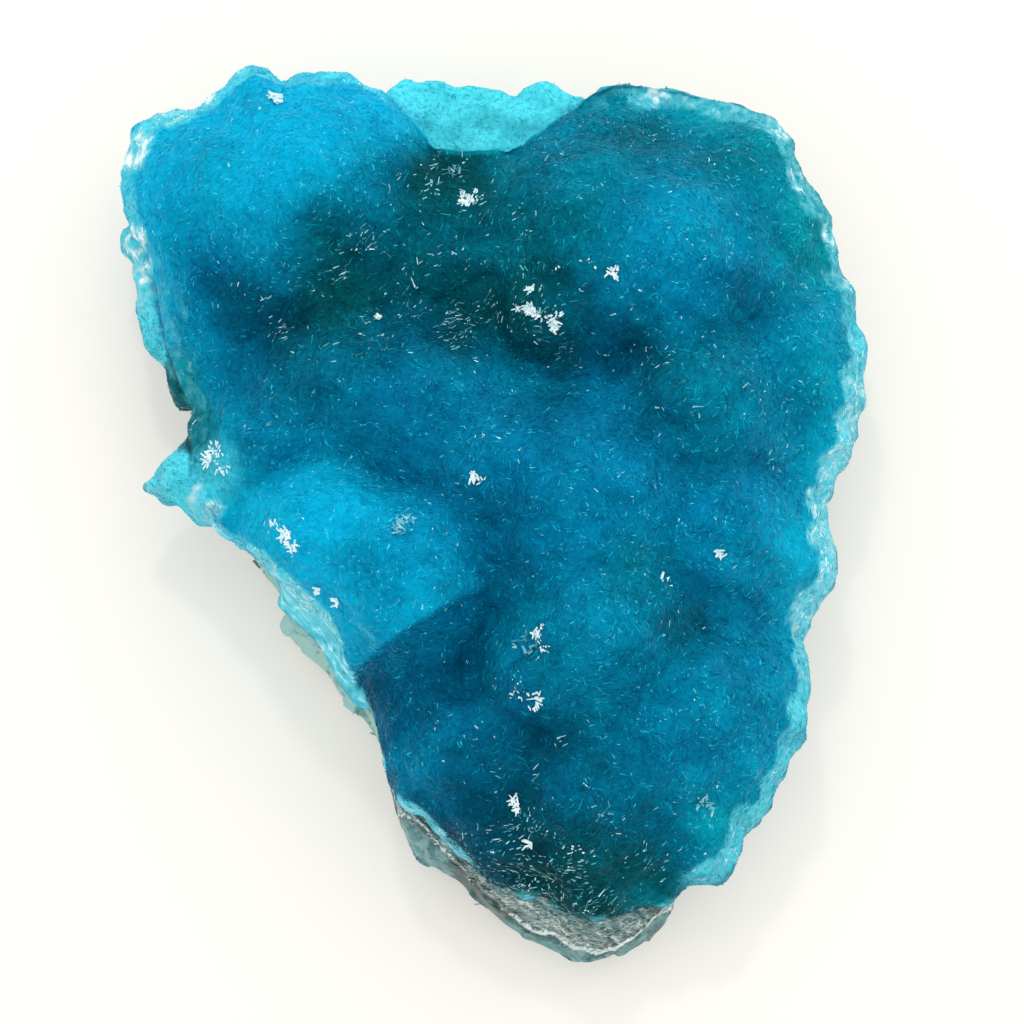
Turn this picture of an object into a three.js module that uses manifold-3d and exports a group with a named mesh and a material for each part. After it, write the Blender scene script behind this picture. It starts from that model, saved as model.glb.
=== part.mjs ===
// Hemimorphite: a blue mamillary crust of fine blades, grown on a thin broken slab of its matrix.
// Millimetres, +Z up. The slab's broken base is flat and lies on z = 0, and the origin is on that
// plane, under the middle of the specimen. +Y runs from the narrow broken tip to the notched top.

import * as THREE from 'three';
import { ParametricGeometry } from 'three/addons/geometries/ParametricGeometry.js';
import { mergeGeometries, mergeVertices } from 'three/addons/utils/BufferGeometryUtils.js';
import Module from 'manifold-3d';

const wasm = await Module();
wasm.setup();

// Driving dimensions
const LENGTH = 60; // along Y, from the tip of the matrix to the top of the crust
const SLAB_TOP = 5.2; // height of the plane that the crust grew on
const SEAM = 0.3; // open seam between the slab and the crust
const LOBE_FALL = 2.8; // how far a mamilla has dropped at its own radius
const LOBE_BLEND = 1.15; // per mm: a larger value cuts the creases between mamillae sharper
const LOBE_POWER = 2; // the fall grows with this power of the distance, unless a mamilla has its own
const CRUST_FLOOR = 8.5; // the crust's top never drops below this between mamillae
const SHELF_LIFT = 0.35; // the shelves that grew out of the crust start this far above its underside
const CROWDING = 1.3; // the cells of a lump crowd towards its rim
const BREAK_TUCK = 0.07; // along the break the crust's side draws in by this share of its reach
const BREAK_FLARE = 0.05; // and where the pale broken side shows, it flares out by this share
const SLAB_WEAR = 0.75; // the slab's top drops by this much for each mm outside the crust's rim
const BLADE = { length: 1.3, width: 0.34, thickness: 0.18, sunk: 0.42 };

// The photograph's frame: outlines and mamillae are placed by its pixels
const PHOTO_LENGTH = 890; // pixels from the tip to the top
const PHOTO_MIDDLE = [493.2, 511]; // the pixel over the origin
const VIEW_LEAN = THREE.MathUtils.degToRad(10); // the view leans this far from straight down
const MM_PER_PIXEL = LENGTH / PHOTO_LENGTH;

// Each outline point is a pixel and the height of the rim there in mm
const CRUST_RIM = [
  [500, 150, 12], [470, 153, 12], [440, 149, 12], [420, 131, 11], [392, 101, 10], [365, 81, 9],
  [340, 70, 8], [300, 74, 8], [278, 79, 8], [262, 69, 8], [241, 66, 8], [226, 76, 8],
  [211, 93, 8], [194, 104, 8], [160, 109, 8], [139, 121, 8], [127, 135, 8], [122, 157, 8],
  [118, 179, 8], [122, 208, 8.5], [133, 235, 9], [148, 262, 9], [157, 300, 9], [166, 340, 9],
  [176, 375, 8.5], [188, 405, 8.5], [191, 440, 9], [198, 482, 9.5], [218, 523, 10], [240, 543, 10],
  [262, 562, 10], [300, 598, 10], [327, 624, 9.5], [347, 662, 9], [363, 686, 8.5], [374, 712, 8],
  [383, 752, 7.5], [396, 797, 7], [423, 817, 6.6], [444, 838, 6.4], [464, 856, 6.4], [487, 878, 6.4],
  [515, 887, 6.4], [545, 893, 6.4], [567, 909, 6.2], [591, 915, 6.2], [621, 912, 6.2], [651, 903, 6.2],
  [680, 890, 6.2], [708, 884, 6.2], [725, 873, 6.4], [737, 853, 6.4], [742, 834, 6.6], [759, 817, 6.6],
  [780, 782, 6.8], [787, 760, 6.8], [800, 744, 6.8], [805, 712, 7], [810, 668, 7], [807, 627, 7],
  [820, 606, 7], [833, 582, 7], [834, 552, 7], [828, 517, 7], [835, 482, 7], [851, 455, 7],
  [861, 420, 7], [867, 384, 7], [866, 350, 7], [859, 331, 7], [859, 303, 7], [847, 277, 7],
  [838, 250, 7.2], [834, 221, 7.4], [822, 203, 7.6], [811, 182, 7.8], [798, 156, 8], [789, 133, 8],
  [769, 116, 8], [725, 101, 8], [694, 91, 8.5], [656, 87, 9], [624, 84, 9.5], [605, 88, 10],
  [583, 101, 10.5], [558, 119, 11], [530, 139, 12],
];
const CRUST_HEART = [500, 480];

// The low pale shelf behind the notch, the lobe that shows under the left edge, and the wedge tip
const LEDGE_RIM = [
  [588, 99, 7.6], [567, 92, 7.6], [556, 84, 7.4], [540, 83, 7.4], [524, 91, 7.2], [505, 93, 7.2],
  [481, 88, 7.2], [450, 84, 7.4], [425, 80, 7.6], [398, 81, 7.6], [374, 104, 7.6], [384, 146, 7.6],
  [420, 184, 7.6], [480, 198, 7.6], [540, 190, 7.6], [590, 158, 7.6], [604, 122, 7.6],
];
const LEDGE_HEART = [484, 128];
const LEFT_LOBE_RIM = [
  [122, 226, 6.6], [121, 248, 6.4], [130, 262, 6.4], [131, 288, 6.4], [139, 320, 6.4], [146, 352, 6.4],
  [159, 363, 6.4], [169, 389, 6.4], [182, 414, 6.6], [210, 408, 6.8], [216, 360, 6.8], [206, 300, 6.8],
  [190, 246, 6.8], [158, 218, 6.8],
];
const LEFT_LOBE_HEART = [168, 306];
const TIP_RIM = [
  [190, 437, 6.6], [173, 453, 6.4], [156, 473, 6.2], [145, 490, 6.2], [164, 503, 6.3], [196, 522, 6.6],
  [224, 536, 7], [242, 549, 7.4], [262, 548, 7.6], [268, 500, 7.6], [250, 446, 7.4], [216, 424, 7],
];
const TIP_HEART = [214, 492];

// The slab is drawn in under the crust, and juts out along the broken lower left and the tip
const SLAB_RIM = [
  [485, 122, 3], [420, 112, 3], [360, 112, 3], [300, 110, 3], [240, 112, 3], [192, 140, 3],
  [160, 185, 3], [160, 240, 3], [172, 300, 3], [186, 360, 3], [206, 415, 3], [206, 470, 3.4],
  [224, 522, 3.6], [252, 556, 3.8], [276, 586, 3.8], [289, 607, 3.6], [285, 628, 3.2], [306, 652, 3],
  [322, 668, 3], [342, 695, 3.2], [362, 713, 3.4], [377, 738, 3.2], [385, 770, 3], [395, 806, 3],
  [405, 835, 3], [417, 857, 2.8], [457, 881, 2.6], [483, 907, 2.6], [512, 931, 2.6], [545, 948, 2.4],
  [574, 961, 2.4], [607, 959, 2.4], [633, 946, 2.6], [652, 927, 2.8], [670, 908, 3], [684, 876, 3],
  [706, 842, 3], [735, 800, 3], [757, 745, 3], [766, 680, 3], [770, 620, 3], [785, 570, 3],
  [786, 500, 3], [805, 440, 3], [822, 380, 3], [814, 320, 3], [796, 260, 3], [776, 205, 3],
  [745, 155, 3], [700, 132, 3], [640, 122, 3], [585, 128, 3], [540, 116, 3],
];
const SLAB_HEART = [500, 480];

// Mamillae: pixel of the summit, its height and radius in mm, and a power where it is flat-topped
const MAMILLAE = [
  [300, 165, 18.2, 6.2], [212, 188, 15.8, 5], [228, 265, 14.6, 4.6], [215, 335, 12.4, 4.2],
  [430, 225, 13.8, 6], [352, 292, 13.4, 4.5], [585, 205, 17.6, 5.2], [672, 250, 18.4, 5.6],
  [765, 185, 14.8, 5.2], [805, 345, 15.2, 5], [702, 395, 18.2, 4.4], [825, 430, 12.8, 4.4],
  [340, 375, 16.2, 4.8], [432, 398, 17, 4.8], [268, 428, 14.4, 3.8], [332, 532, 17.2, 4.6, 3],
  [405, 562, 18, 5, 3], [582, 490, 19.4, 5.8], [505, 452, 18.2, 4.6], [715, 512, 17.8, 4.2],
  [792, 535, 13.8, 4.2], [600, 612, 19, 4.5], [540, 662, 16.8, 3.2], [690, 700, 17, 5.2],
  [770, 700, 13.2, 4.4], [480, 750, 14.6, 5.4], [592, 780, 15.6, 4.8], [705, 800, 13.6, 4.8],
  [612, 868, 11.6, 4.8], [425, 690, 13.2, 3.8], [560, 300, 15, 4], [205, 440, 10.8, 3],
];

// Sprays of larger blades: pixel of the middle, its reach in mm, and how many blades it has
const SPRAYS = [
  [470, 201, 0.9, 6], [528, 312, 1, 5], [552, 322, 0.9, 5], [610, 276, 0.8, 3], [358, 248, 0.6, 3],
  [215, 452, 1.1, 5], [226, 466, 0.8, 4], [290, 536, 1.2, 6], [276, 100, 0.7, 4], [538, 630, 0.9, 4],
  [528, 684, 1.3, 6], [515, 795, 0.8, 4], [575, 840, 0.8, 4], [715, 551, 0.6, 3], [474, 476, 0.8, 4],
  [406, 526, 0.9, 4], [340, 598, 0.7, 3], [660, 576, 0.6, 3], [700, 800, 0.6, 3],
];
const LONE_BLADES = 18; // spread over the rest of the crust
const GOLDEN_TURN = 0.618034; // the turn from one of them to the next
const RIM_STOPS = 1440; // a rim is looked up between this many stops

/** The place in mm of a pixel of the photograph, for something at this height. */
function fromPhoto([across, down], height) {
  const x = (across - PHOTO_MIDDLE[0]) * MM_PER_PIXEL;
  const up = (PHOTO_MIDDLE[1] - down) * MM_PER_PIXEL;
  const y = (up - (height - SLAB_TOP) * Math.sin(VIEW_LEAN)) / Math.cos(VIEW_LEAN);
  return new THREE.Vector3(x, y, height);
}

const SUMMITS = MAMILLAE.map(([across, down, height, radius, power = LOBE_POWER]) => ({
  middle: fromPhoto([across, down], height),
  radius,
  power,
}));

/** Height of the crust's top: the soft maximum of one rounded cap for each mamilla. */
function crustTop(x, y) {
  let total = Math.exp(LOBE_BLEND * (CRUST_FLOOR - SLAB_TOP));
  for (const { middle, radius, power } of SUMMITS) {
    const away = Math.hypot(x - middle.x, y - middle.y) / radius;
    total += Math.exp(LOBE_BLEND * (middle.z - LOBE_FALL * away ** power - SLAB_TOP));
  }
  return SLAB_TOP + Math.log(total) / LOBE_BLEND;
}

/** 1 on the line between two places, falling to 0 between the near and the far distance from it. */
function alongLine(point, start, end, near, far) {
  const along = new THREE.Vector3().subVectors(end, start).setZ(0);
  const reach = along.length();
  along.normalize();
  const from = new THREE.Vector3().subVectors(point, start).setZ(0);
  const inward = Math.abs(from.x * along.y - from.y * along.x);
  const beyond = Math.max(0, -from.dot(along), from.dot(along) - reach);
  return 1 - THREE.MathUtils.smoothstep(Math.hypot(inward, beyond), near, far);
}

const BREAK_START = fromPhoto([180, 505], SLAB_TOP);
const BREAK_END = fromPhoto([560, 925], SLAB_TOP);
const FLARE_START = fromPhoto([296, 594], 10);
const FLARE_END = fromPhoto([358, 678], 9);

/** 1 along the broken lower left edge, falling to 0 five millimetres from it. */
function broken(point) {
  return alongLine(point, BREAK_START, BREAK_END, 1.5, 5);
}

/** How far the crust's side draws in below its rim: less where the rim is high, out at the flare. */
function crustTuck(edge) {
  const high = THREE.MathUtils.smoothstep(edge.z, 7.8, 8.8);
  const plain = 0.13 - 0.11 * Math.max(broken(edge), high);
  const drawnIn = plain + (BREAK_TUCK - 0.02) * broken(edge) * high;
  return THREE.MathUtils.lerp(drawnIn, -BREAK_FLARE, alongLine(edge, FLARE_START, FLARE_END, 0.5, 2.5));
}

/** A closed smooth rim through an outline's points: its point in each direction from the heart. */
function rimAround(outline, middle) {
  const points = outline.map(([across, down, height]) => fromPhoto([across, down], height));
  const curve = new THREE.CatmullRomCurve3(points, true, 'catmullrom', 0.5);
  const stops = curve.getPoints(RIM_STOPS);
  const turnTo = ({ x, y }) => new THREE.Vector2(x - middle.x, y - middle.y).angle() / (2 * Math.PI);
  const start = turnTo(stops[0]);
  const turns = stops.map((stop) => (turnTo(stop) - start + 1) % 1);
  turns[RIM_STOPS] = 1;
  return (turn, target) => {
    const wanted = (turn - start + 1) % 1;
    const after = Math.max(1, turns.findIndex((value) => value >= wanted));
    const share = (wanted - turns[after - 1]) / (turns[after] - turns[after - 1]);
    return target.lerpVectors(stops[after - 1], stops[after], share);
  };
}

/** A point on the edge of a square of half-width 1, going round once as turn runs from 0 to 1. */
function roundSquare(turn) {
  const side = Math.floor(turn * 4) % 4;
  const along = 2 * ((turn * 4) % 1) - 1;
  return [[1, along], [-along, 1], [-1, -along], [along, -1]][side];
}

/** Where a point of that square falls on the disc of radius 1: square cells stay nearly square. */
function toDisc([a, b]) {
  return new THREE.Vector2(a * Math.sqrt(1 - (b * b) / 2), b * Math.sqrt(1 - (a * a) / 2));
}

/**
 * A closed lump over an outline, made of two sheets that meet at the rim. The upper one is a square
 * grid spread over the outline, and rises from the rim to the top surface as a superellipse. The
 * lower one is made of rings: they tuck in under the rim as a quarter turn, down to a flat underside.
 * Chips push each point of the side inwards by up to that share of the way to the heart.
 */
function lump({ outline, heart, top, bottom, squareness, tuck, cells, rings, chips = 0 }) {
  const middle = fromPhoto(heart, SLAB_TOP);
  const rim = rimAround(outline, middle);
  const edge = new THREE.Vector3();
  let turn = 0;
  const towards = (disc) => {
    turn = disc.angle() / (2 * Math.PI);
    rim(turn, edge);
  };
  const chip = (ring) => 1 - chips * scatter(Math.round(turn * RIM_STOPS), ring);
  const above = new ParametricGeometry((u, v, target) => {
    const disc = toDisc([2 * u - 1, 2 * v - 1]);
    towards(disc);
    const share = 1 - Math.max(0, 1 - disc.length()) ** CROWDING;
    const power = squareness(edge);
    const rise = Math.max(0, 1 - share ** power) ** (1 / power);
    target.lerpVectors(middle, edge, share > 0.9999 ? chip(0) : share);
    target.z = share > 0.9999 ? edge.z : edge.z + (top(target.x, target.y) - edge.z) * rise;
  }, cells, cells);
  const below = new ParametricGeometry((u, v, target) => {
    towards(toDisc(roundSquare((1 - u) % 1)));
    const ring = Math.round(v * (rings + 1));
    const fold = (Math.min(1, ring / rings) * Math.PI) / 2;
    const share = (1 - tuck(edge) * (1 - Math.cos(fold))) * chip(ring);
    target.lerpVectors(middle, edge, ring > rings ? 0 : share);
    target.z = edge.z + (bottom - edge.z) * Math.sin(fold);
  }, 4 * cells, rings + 1);
  return mergeGeometries([above, below]);
}

/** The manifold solid inside a closed geometry: shared vertices merged, empty triangles dropped. */
function solid(geometry) {
  const bare = geometry.clone();
  bare.deleteAttribute('normal');
  bare.deleteAttribute('uv');
  const welded = mergeVertices(bare, 1e-4);
  const index = Array.from(welded.index.array);
  const triangles = [];
  for (let i = 0; i < index.length; i += 3) {
    const [a, b, c] = index.slice(i, i + 3);
    if (a !== b && b !== c && c !== a) triangles.push(a, b, c);
  }
  return new wasm.Manifold(new wasm.Mesh({
    numProp: 3,
    vertProperties: new Float32Array(welded.attributes.position.array),
    triVerts: new Uint32Array(triangles),
  }));
}

/** A geometry with flat faces, made from a manifold solid. */
function geometryOf(body) {
  const mesh = body.getMesh();
  const geometry = new THREE.BufferGeometry();
  geometry.setAttribute('position', new THREE.BufferAttribute(new Float32Array(mesh.vertProperties), 3));
  geometry.setIndex(new THREE.BufferAttribute(new Uint32Array(mesh.triVerts), 1));
  geometry.computeVertexNormals();
  return geometry;
}

/** The same number between 0 and 1 each time for one place in a sequence. */
function scatter(place, stream) {
  const wave = Math.sin(place * 12.9898 + stream * 78.233) * 43758.5453;
  return wave - Math.floor(wave);
}

/** One blade: a flattened four-sided prism that narrows to a chisel end. */
function blade(foot, lean, size) {
  const geometry = new THREE.CylinderGeometry(0.45, 1, 1, 4);
  geometry.translate(0, 0.5, 0);
  geometry.scale(BLADE.width * size, BLADE.length * size, BLADE.thickness * size);
  const upright = new THREE.Vector3(0, 1, 0);
  geometry.applyQuaternion(new THREE.Quaternion().setFromUnitVectors(upright, lean));
  geometry.translate(foot.x, foot.y, foot.z);
  return solid(geometry);
}

/** A blade that grows out of the ground below a place, leaning the way it is told to. */
function bladeOn(ground, x, y, heading, tilt, size) {
  const sight = new THREE.Raycaster(new THREE.Vector3(x, y, LENGTH), new THREE.Vector3(0, 0, -1));
  const [hit] = sight.intersectObject(ground);
  const out = hit.face.normal;
  const sideways = new THREE.Vector3(Math.cos(heading), Math.sin(heading), 0);
  sideways.addScaledVector(out, -sideways.dot(out)).normalize();
  const lean = out.clone().multiplyScalar(Math.cos(tilt)).addScaledVector(sideways, Math.sin(tilt));
  return blade(hit.point.addScaledVector(lean, -BLADE.sunk * size), lean, size);
}

/** All the larger blades: fans in the sprays, and single ones between them. */
function blades(body) {
  const ground = new THREE.Mesh(body, new THREE.MeshBasicMaterial());
  const made = [];
  SPRAYS.forEach(([across, down, reach, count], spray) => {
    const guess = fromPhoto([across, down], CRUST_FLOOR);
    const middle = fromPhoto([across, down], crustTop(guess.x, guess.y));
    for (let i = 0; i < count; i += 1) {
      const heading = (i / count) * 2 * Math.PI + scatter(spray, 1) * 2;
      const away = reach * (0.25 + 0.55 * scatter(spray * 10 + i, 2));
      const x = middle.x + Math.cos(heading) * away;
      const y = middle.y + Math.sin(heading) * away;
      const tilt = 0.5 + 0.5 * scatter(spray * 10 + i, 3);
      made.push(bladeOn(ground, x, y, heading, tilt, 0.75 + 0.45 * scatter(i, 4)));
    }
  });
  const middle = fromPhoto(CRUST_HEART, SLAB_TOP);
  const rim = rimAround(CRUST_RIM, middle);
  for (let i = 0; i < LONE_BLADES; i += 1) {
    const share = 0.85 * Math.sqrt((i + 0.5) / LONE_BLADES);
    const { x, y } = rim((i * GOLDEN_TURN) % 1, new THREE.Vector3()).lerp(middle, 1 - share);
    const heading = 2 * Math.PI * scatter(i, 5);
    made.push(bladeOn(ground, x, y, heading, 0.7 + 0.4 * scatter(i, 6), 0.7 + 0.3 * scatter(i, 7)));
  }
  return made;
}

/** The crust: its main body with the low ledge, left lobe and tip that grew out of it. */
function crust() {
  const body = lump({
    outline: CRUST_RIM,
    heart: CRUST_HEART,
    top: crustTop,
    bottom: SLAB_TOP,
    squareness: (edge) => 3 + 3.5 * broken(edge),
    tuck: crustTuck,
    cells: 39,
    rings: 3,
  });
  const shelf = (outline, heart, top, cells) => solid(lump({
    outline,
    heart,
    top,
    bottom: SLAB_TOP + SHELF_LIFT,
    squareness: () => 3.2,
    tuck: () => 0.2,
    cells,
    rings: 2,
  }));
  const ledge = shelf(LEDGE_RIM, LEDGE_HEART, (x) => 9.6 + 0.35 * Math.sin(x / 1.6), 9);
  const leftLobe = shelf(LEFT_LOBE_RIM, LEFT_LOBE_HEART, () => 8.6, 7);
  const tip = shelf(TIP_RIM, TIP_HEART, (x) => 10 + 0.16 * (x - fromPhoto(TIP_HEART, 0).x), 7);
  return [ledge, leftLobe, tip, ...blades(body)].reduce((whole, piece) => whole.add(piece), solid(body));
}

/** The slab of matrix: a rough broken plate with a flat base, worn down outside the crust's rim. */
function slab() {
  const middle = fromPhoto(CRUST_HEART, SLAB_TOP);
  const rim = rimAround(CRUST_RIM, middle);
  const edge = new THREE.Vector3();
  const outside = (x, y) => {
    const away = new THREE.Vector2(x - middle.x, y - middle.y);
    rim(away.angle() / (2 * Math.PI), edge);
    return Math.max(0, away.length() - Math.hypot(edge.x - middle.x, edge.y - middle.y));
  };
  return solid(lump({
    outline: SLAB_RIM,
    heart: SLAB_HEART,
    top: (x, y) => SLAB_TOP - SEAM - SLAB_WEAR * outside(x, y),
    bottom: 0,
    squareness: () => 14,
    tuck: () => 0.05,
    cells: 23,
    rings: 3,
    chips: 0.035,
  }));
}

const crustMesh = new THREE.Mesh(
  geometryOf(crust()),
  new THREE.MeshStandardMaterial({ color: 0x0478a1, roughness: 0.35, metalness: 0, flatShading: true }),
);
crustMesh.name = 'hemimorphite_crust';

const slabMesh = new THREE.Mesh(
  geometryOf(slab()),
  new THREE.MeshStandardMaterial({ color: 0x6c9a9c, roughness: 0.8, metalness: 0, flatShading: true }),
);
slabMesh.name = 'matrix_slab';

const group = new THREE.Group();
group.add(crustMesh, slabMesh);

export default group;
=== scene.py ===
# %% [markdown]
# # A blue hemimorphite crust on its matrix
# The stone is a mamillary crust: rounded lumps grown into each other, covered all over by a druse, a
# coat of tiny blades. It sits on a thin broken slab of the rock that it grew on. This lesson builds it
# from the large form down to the small: first the frame that the solid model gives, then the rounded
# body, then the fields that say where it is bright, green or pale, then tens of thousands of blades,
# and at last the rock, the finishes and the studio.
#
# Everything is worked out in millimetres in numpy arrays, and turned into metres when a mesh is made.

# %% Load the frame that the solid model gives
import itertools
import math
from types import SimpleNamespace

import bpy
import numpy as np
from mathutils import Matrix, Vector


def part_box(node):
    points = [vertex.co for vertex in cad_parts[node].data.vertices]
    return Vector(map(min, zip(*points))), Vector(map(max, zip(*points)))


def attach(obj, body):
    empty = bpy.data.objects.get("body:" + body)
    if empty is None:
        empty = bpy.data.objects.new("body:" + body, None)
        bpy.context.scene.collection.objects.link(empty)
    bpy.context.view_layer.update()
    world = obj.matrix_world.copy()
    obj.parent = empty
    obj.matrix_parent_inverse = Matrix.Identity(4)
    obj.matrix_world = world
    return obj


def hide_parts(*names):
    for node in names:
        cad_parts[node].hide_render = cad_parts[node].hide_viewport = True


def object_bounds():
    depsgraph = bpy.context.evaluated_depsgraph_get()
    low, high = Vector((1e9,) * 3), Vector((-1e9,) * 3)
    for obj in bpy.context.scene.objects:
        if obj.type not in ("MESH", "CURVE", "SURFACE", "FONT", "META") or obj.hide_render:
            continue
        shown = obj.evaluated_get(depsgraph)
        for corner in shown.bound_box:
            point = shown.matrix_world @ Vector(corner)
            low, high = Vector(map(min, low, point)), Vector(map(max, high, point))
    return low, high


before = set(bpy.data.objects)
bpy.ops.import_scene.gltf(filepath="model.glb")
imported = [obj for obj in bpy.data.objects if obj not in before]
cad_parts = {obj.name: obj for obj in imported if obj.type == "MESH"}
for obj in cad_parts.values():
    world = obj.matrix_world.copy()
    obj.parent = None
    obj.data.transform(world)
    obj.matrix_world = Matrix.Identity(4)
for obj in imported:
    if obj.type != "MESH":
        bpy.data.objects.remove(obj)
cad_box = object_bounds()
MM = 0.001
FULL_TURN = 2 * math.pi
length = (cad_box[1].y - cad_box[0].y) / MM
slab_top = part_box("hemimorphite_crust")[0].z / MM
print(f"the solid is {length:.1f} mm long, and its crust starts {slab_top:.1f} mm up")

# %% [markdown]
# ## From the photograph to the stone
# The outlines were read off the photograph, so they are kept as its pixels. The view is not quite
# straight down: it leans ten degrees, so a high point shows further up the picture than a low one at
# the same place. One helper undoes both the scale and the lean. A stone has no straight lines, so an
# outline is a list of points with a smooth closed curve through them.

# %% Pixels to millimetres
PHOTO_SIZE = 1024
PHOTO_LENGTH = 890
PHOTO_MIDDLE = np.array([493.2, 511.0])
VIEW_LEAN = math.radians(10)
mm_per_pixel = length / PHOTO_LENGTH


def from_photo(points):
    """Pixel across, pixel down and height in mm, to x, y and height in mm."""
    across, down, height = np.array(points, float).reshape(-1, 3).T
    x = (across - PHOTO_MIDDLE[0]) * mm_per_pixel
    up = (PHOTO_MIDDLE[1] - down) * mm_per_pixel
    y = (up - (height - slab_top) * math.sin(VIEW_LEAN)) / math.cos(VIEW_LEAN)
    return np.stack([x, y, height], 1)


# %% The outlines: each point is a pixel and the height of the rim there in mm
CRUST_RIM = [
    (500, 150, 12), (470, 153, 12), (440, 149, 12), (420, 131, 11), (392, 101, 10), (365, 81, 9),
    (340, 70, 8), (300, 74, 8), (278, 79, 8), (262, 69, 8), (241, 66, 8), (226, 76, 8),
    (211, 93, 8), (194, 104, 8), (160, 109, 8), (139, 121, 8), (127, 135, 8), (122, 157, 8),
    (118, 179, 8), (122, 208, 8.5), (133, 235, 9), (148, 262, 9), (157, 300, 9), (166, 340, 9),
    (176, 375, 8.5), (188, 405, 8.5), (191, 440, 9), (198, 482, 9.5), (218, 523, 10), (240, 543, 10),
    (262, 562, 10), (300, 598, 10), (327, 624, 9.5), (347, 662, 9), (363, 686, 8.5), (374, 712, 8),
    (383, 752, 7.5), (396, 797, 7), (423, 817, 6.6), (444, 838, 6.4), (464, 856, 6.4), (487, 878, 6.4),
    (515, 887, 6.4), (545, 893, 6.4), (567, 909, 6.2), (591, 915, 6.2), (621, 912, 6.2), (651, 903, 6.2),
    (680, 890, 6.2), (708, 884, 6.2), (725, 873, 6.4), (737, 853, 6.4), (742, 834, 6.6), (759, 817, 6.6),
    (780, 782, 6.8), (787, 760, 6.8), (800, 744, 6.8), (805, 712, 7), (810, 668, 7), (807, 627, 7),
    (820, 606, 7), (833, 582, 7), (834, 552, 7), (828, 517, 7), (835, 482, 7), (851, 455, 7),
    (861, 420, 7), (867, 384, 7), (866, 350, 7), (859, 331, 7), (859, 303, 7), (847, 277, 7),
    (838, 250, 7.2), (834, 221, 7.4), (822, 203, 7.6), (811, 182, 7.8), (798, 156, 8), (789, 133, 8),
    (769, 116, 8), (725, 101, 8), (694, 91, 8.5), (656, 87, 9), (624, 84, 9.5), (605, 88, 10),
    (583, 101, 10.5), (558, 119, 11), (530, 139, 12),
]
LEDGE_RIM = [
    (588, 99, 7.6), (567, 92, 7.6), (556, 84, 7.4), (540, 83, 7.4), (524, 91, 7.2), (505, 93, 7.2),
    (481, 88, 7.2), (450, 84, 7.4), (425, 80, 7.6), (398, 81, 7.6), (374, 104, 7.6), (384, 146, 7.6),
    (420, 184, 7.6), (480, 198, 7.6), (540, 190, 7.6), (590, 158, 7.6), (604, 122, 7.6),
]
LEFT_LOBE_RIM = [
    (122, 226, 6.6), (121, 248, 6.4), (130, 262, 6.4), (131, 288, 6.4), (139, 320, 6.4), (146, 352, 6.4),
    (159, 363, 6.4), (169, 389, 6.4), (182, 414, 6.6), (210, 408, 6.8), (216, 360, 6.8), (206, 300, 6.8),
    (190, 246, 6.8), (158, 218, 6.8),
]
TIP_RIM = [
    (190, 437, 6.6), (173, 453, 6.4), (156, 473, 6.2), (145, 490, 6.2), (164, 503, 6.3), (196, 522, 6.6),
    (224, 536, 7), (242, 549, 7.4), (262, 548, 7.6), (268, 500, 7.6), (250, 446, 7.4), (216, 424, 7),
]
SLAB_RIM = [
    (485, 122, 3), (420, 112, 3), (360, 112, 3), (300, 110, 3), (240, 112, 3), (192, 140, 3),
    (160, 185, 3), (160, 240, 3), (172, 300, 3), (186, 360, 3), (206, 415, 3), (206, 470, 3.4),
    (224, 522, 3.6), (252, 556, 3.8), (276, 586, 3.8), (289, 607, 3.6), (285, 628, 3.2), (306, 652, 3),
    (322, 668, 3), (342, 695, 3.2), (362, 713, 3.4), (377, 738, 3.2), (385, 770, 3), (395, 806, 3),
    (405, 835, 3), (417, 857, 2.8), (457, 881, 2.6), (483, 907, 2.6), (512, 931, 2.6), (545, 948, 2.4),
    (574, 961, 2.4), (607, 959, 2.4), (633, 946, 2.6), (652, 927, 2.8), (670, 908, 3), (684, 876, 3),
    (706, 842, 3), (735, 800, 3), (757, 745, 3), (766, 680, 3), (770, 620, 3), (785, 570, 3),
    (786, 500, 3), (805, 440, 3), (822, 380, 3), (814, 320, 3), (796, 260, 3), (776, 205, 3),
    (745, 155, 3), (700, 132, 3), (640, 122, 3), (585, 128, 3), (540, 116, 3),
]
CRUST_HEART = (500, 480)
LEDGE_HEART = (484, 128)
LEFT_LOBE_HEART = (168, 306)
TIP_HEART = (214, 492)


# %% A closed smooth rim through an outline's points
def smooth_loop(points, steps=16):
    """Closed curve: between two points, the cubic whose end slopes are half its neighbours' chord."""
    t = np.linspace(0, 1, steps, endpoint=False)[:, None, None]
    before, start, end, after = (np.roll(points, shift, 0) for shift in (1, 0, -1, -2))
    curve = start + 0.5 * (end - before) * t
    curve = curve + (before - 2.5 * start + 2 * end - 0.5 * after) * t**2
    curve = curve + 0.5 * (after - before + 3 * (start - end)) * t**3
    return curve.transpose(1, 0, 2).reshape(-1, 3)


class Rim:
    """A smooth rim, looked up by the direction from its heart."""

    def __init__(self, outline, heart):
        self.middle = from_photo([(*heart, slab_top)])[0]
        self.stops = smooth_loop(from_photo(outline))
        away = self.stops - self.middle
        self.angles = np.arctan2(away[:, 1], away[:, 0])

    def towards(self, angle):
        """The rim's point that lies in each direction."""
        parts = [np.interp(angle, self.angles, self.stops[:, k], period=FULL_TURN) for k in range(3)]
        return np.stack(parts, -1)

    def share(self, x, y):
        """How far out each place lies: 0 at the heart, 1 on the rim. Also the rim's own point there."""
        away_x, away_y = x - self.middle[0], y - self.middle[1]
        edge = self.towards(np.arctan2(away_y, away_x))
        reach = np.hypot(edge[..., 0] - self.middle[0], edge[..., 1] - self.middle[1])
        return np.hypot(away_x, away_y) / reach, edge, reach


crust_rim = Rim(CRUST_RIM, CRUST_HEART)
print(f"the crust's rim has {len(crust_rim.stops)} stops")

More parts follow.
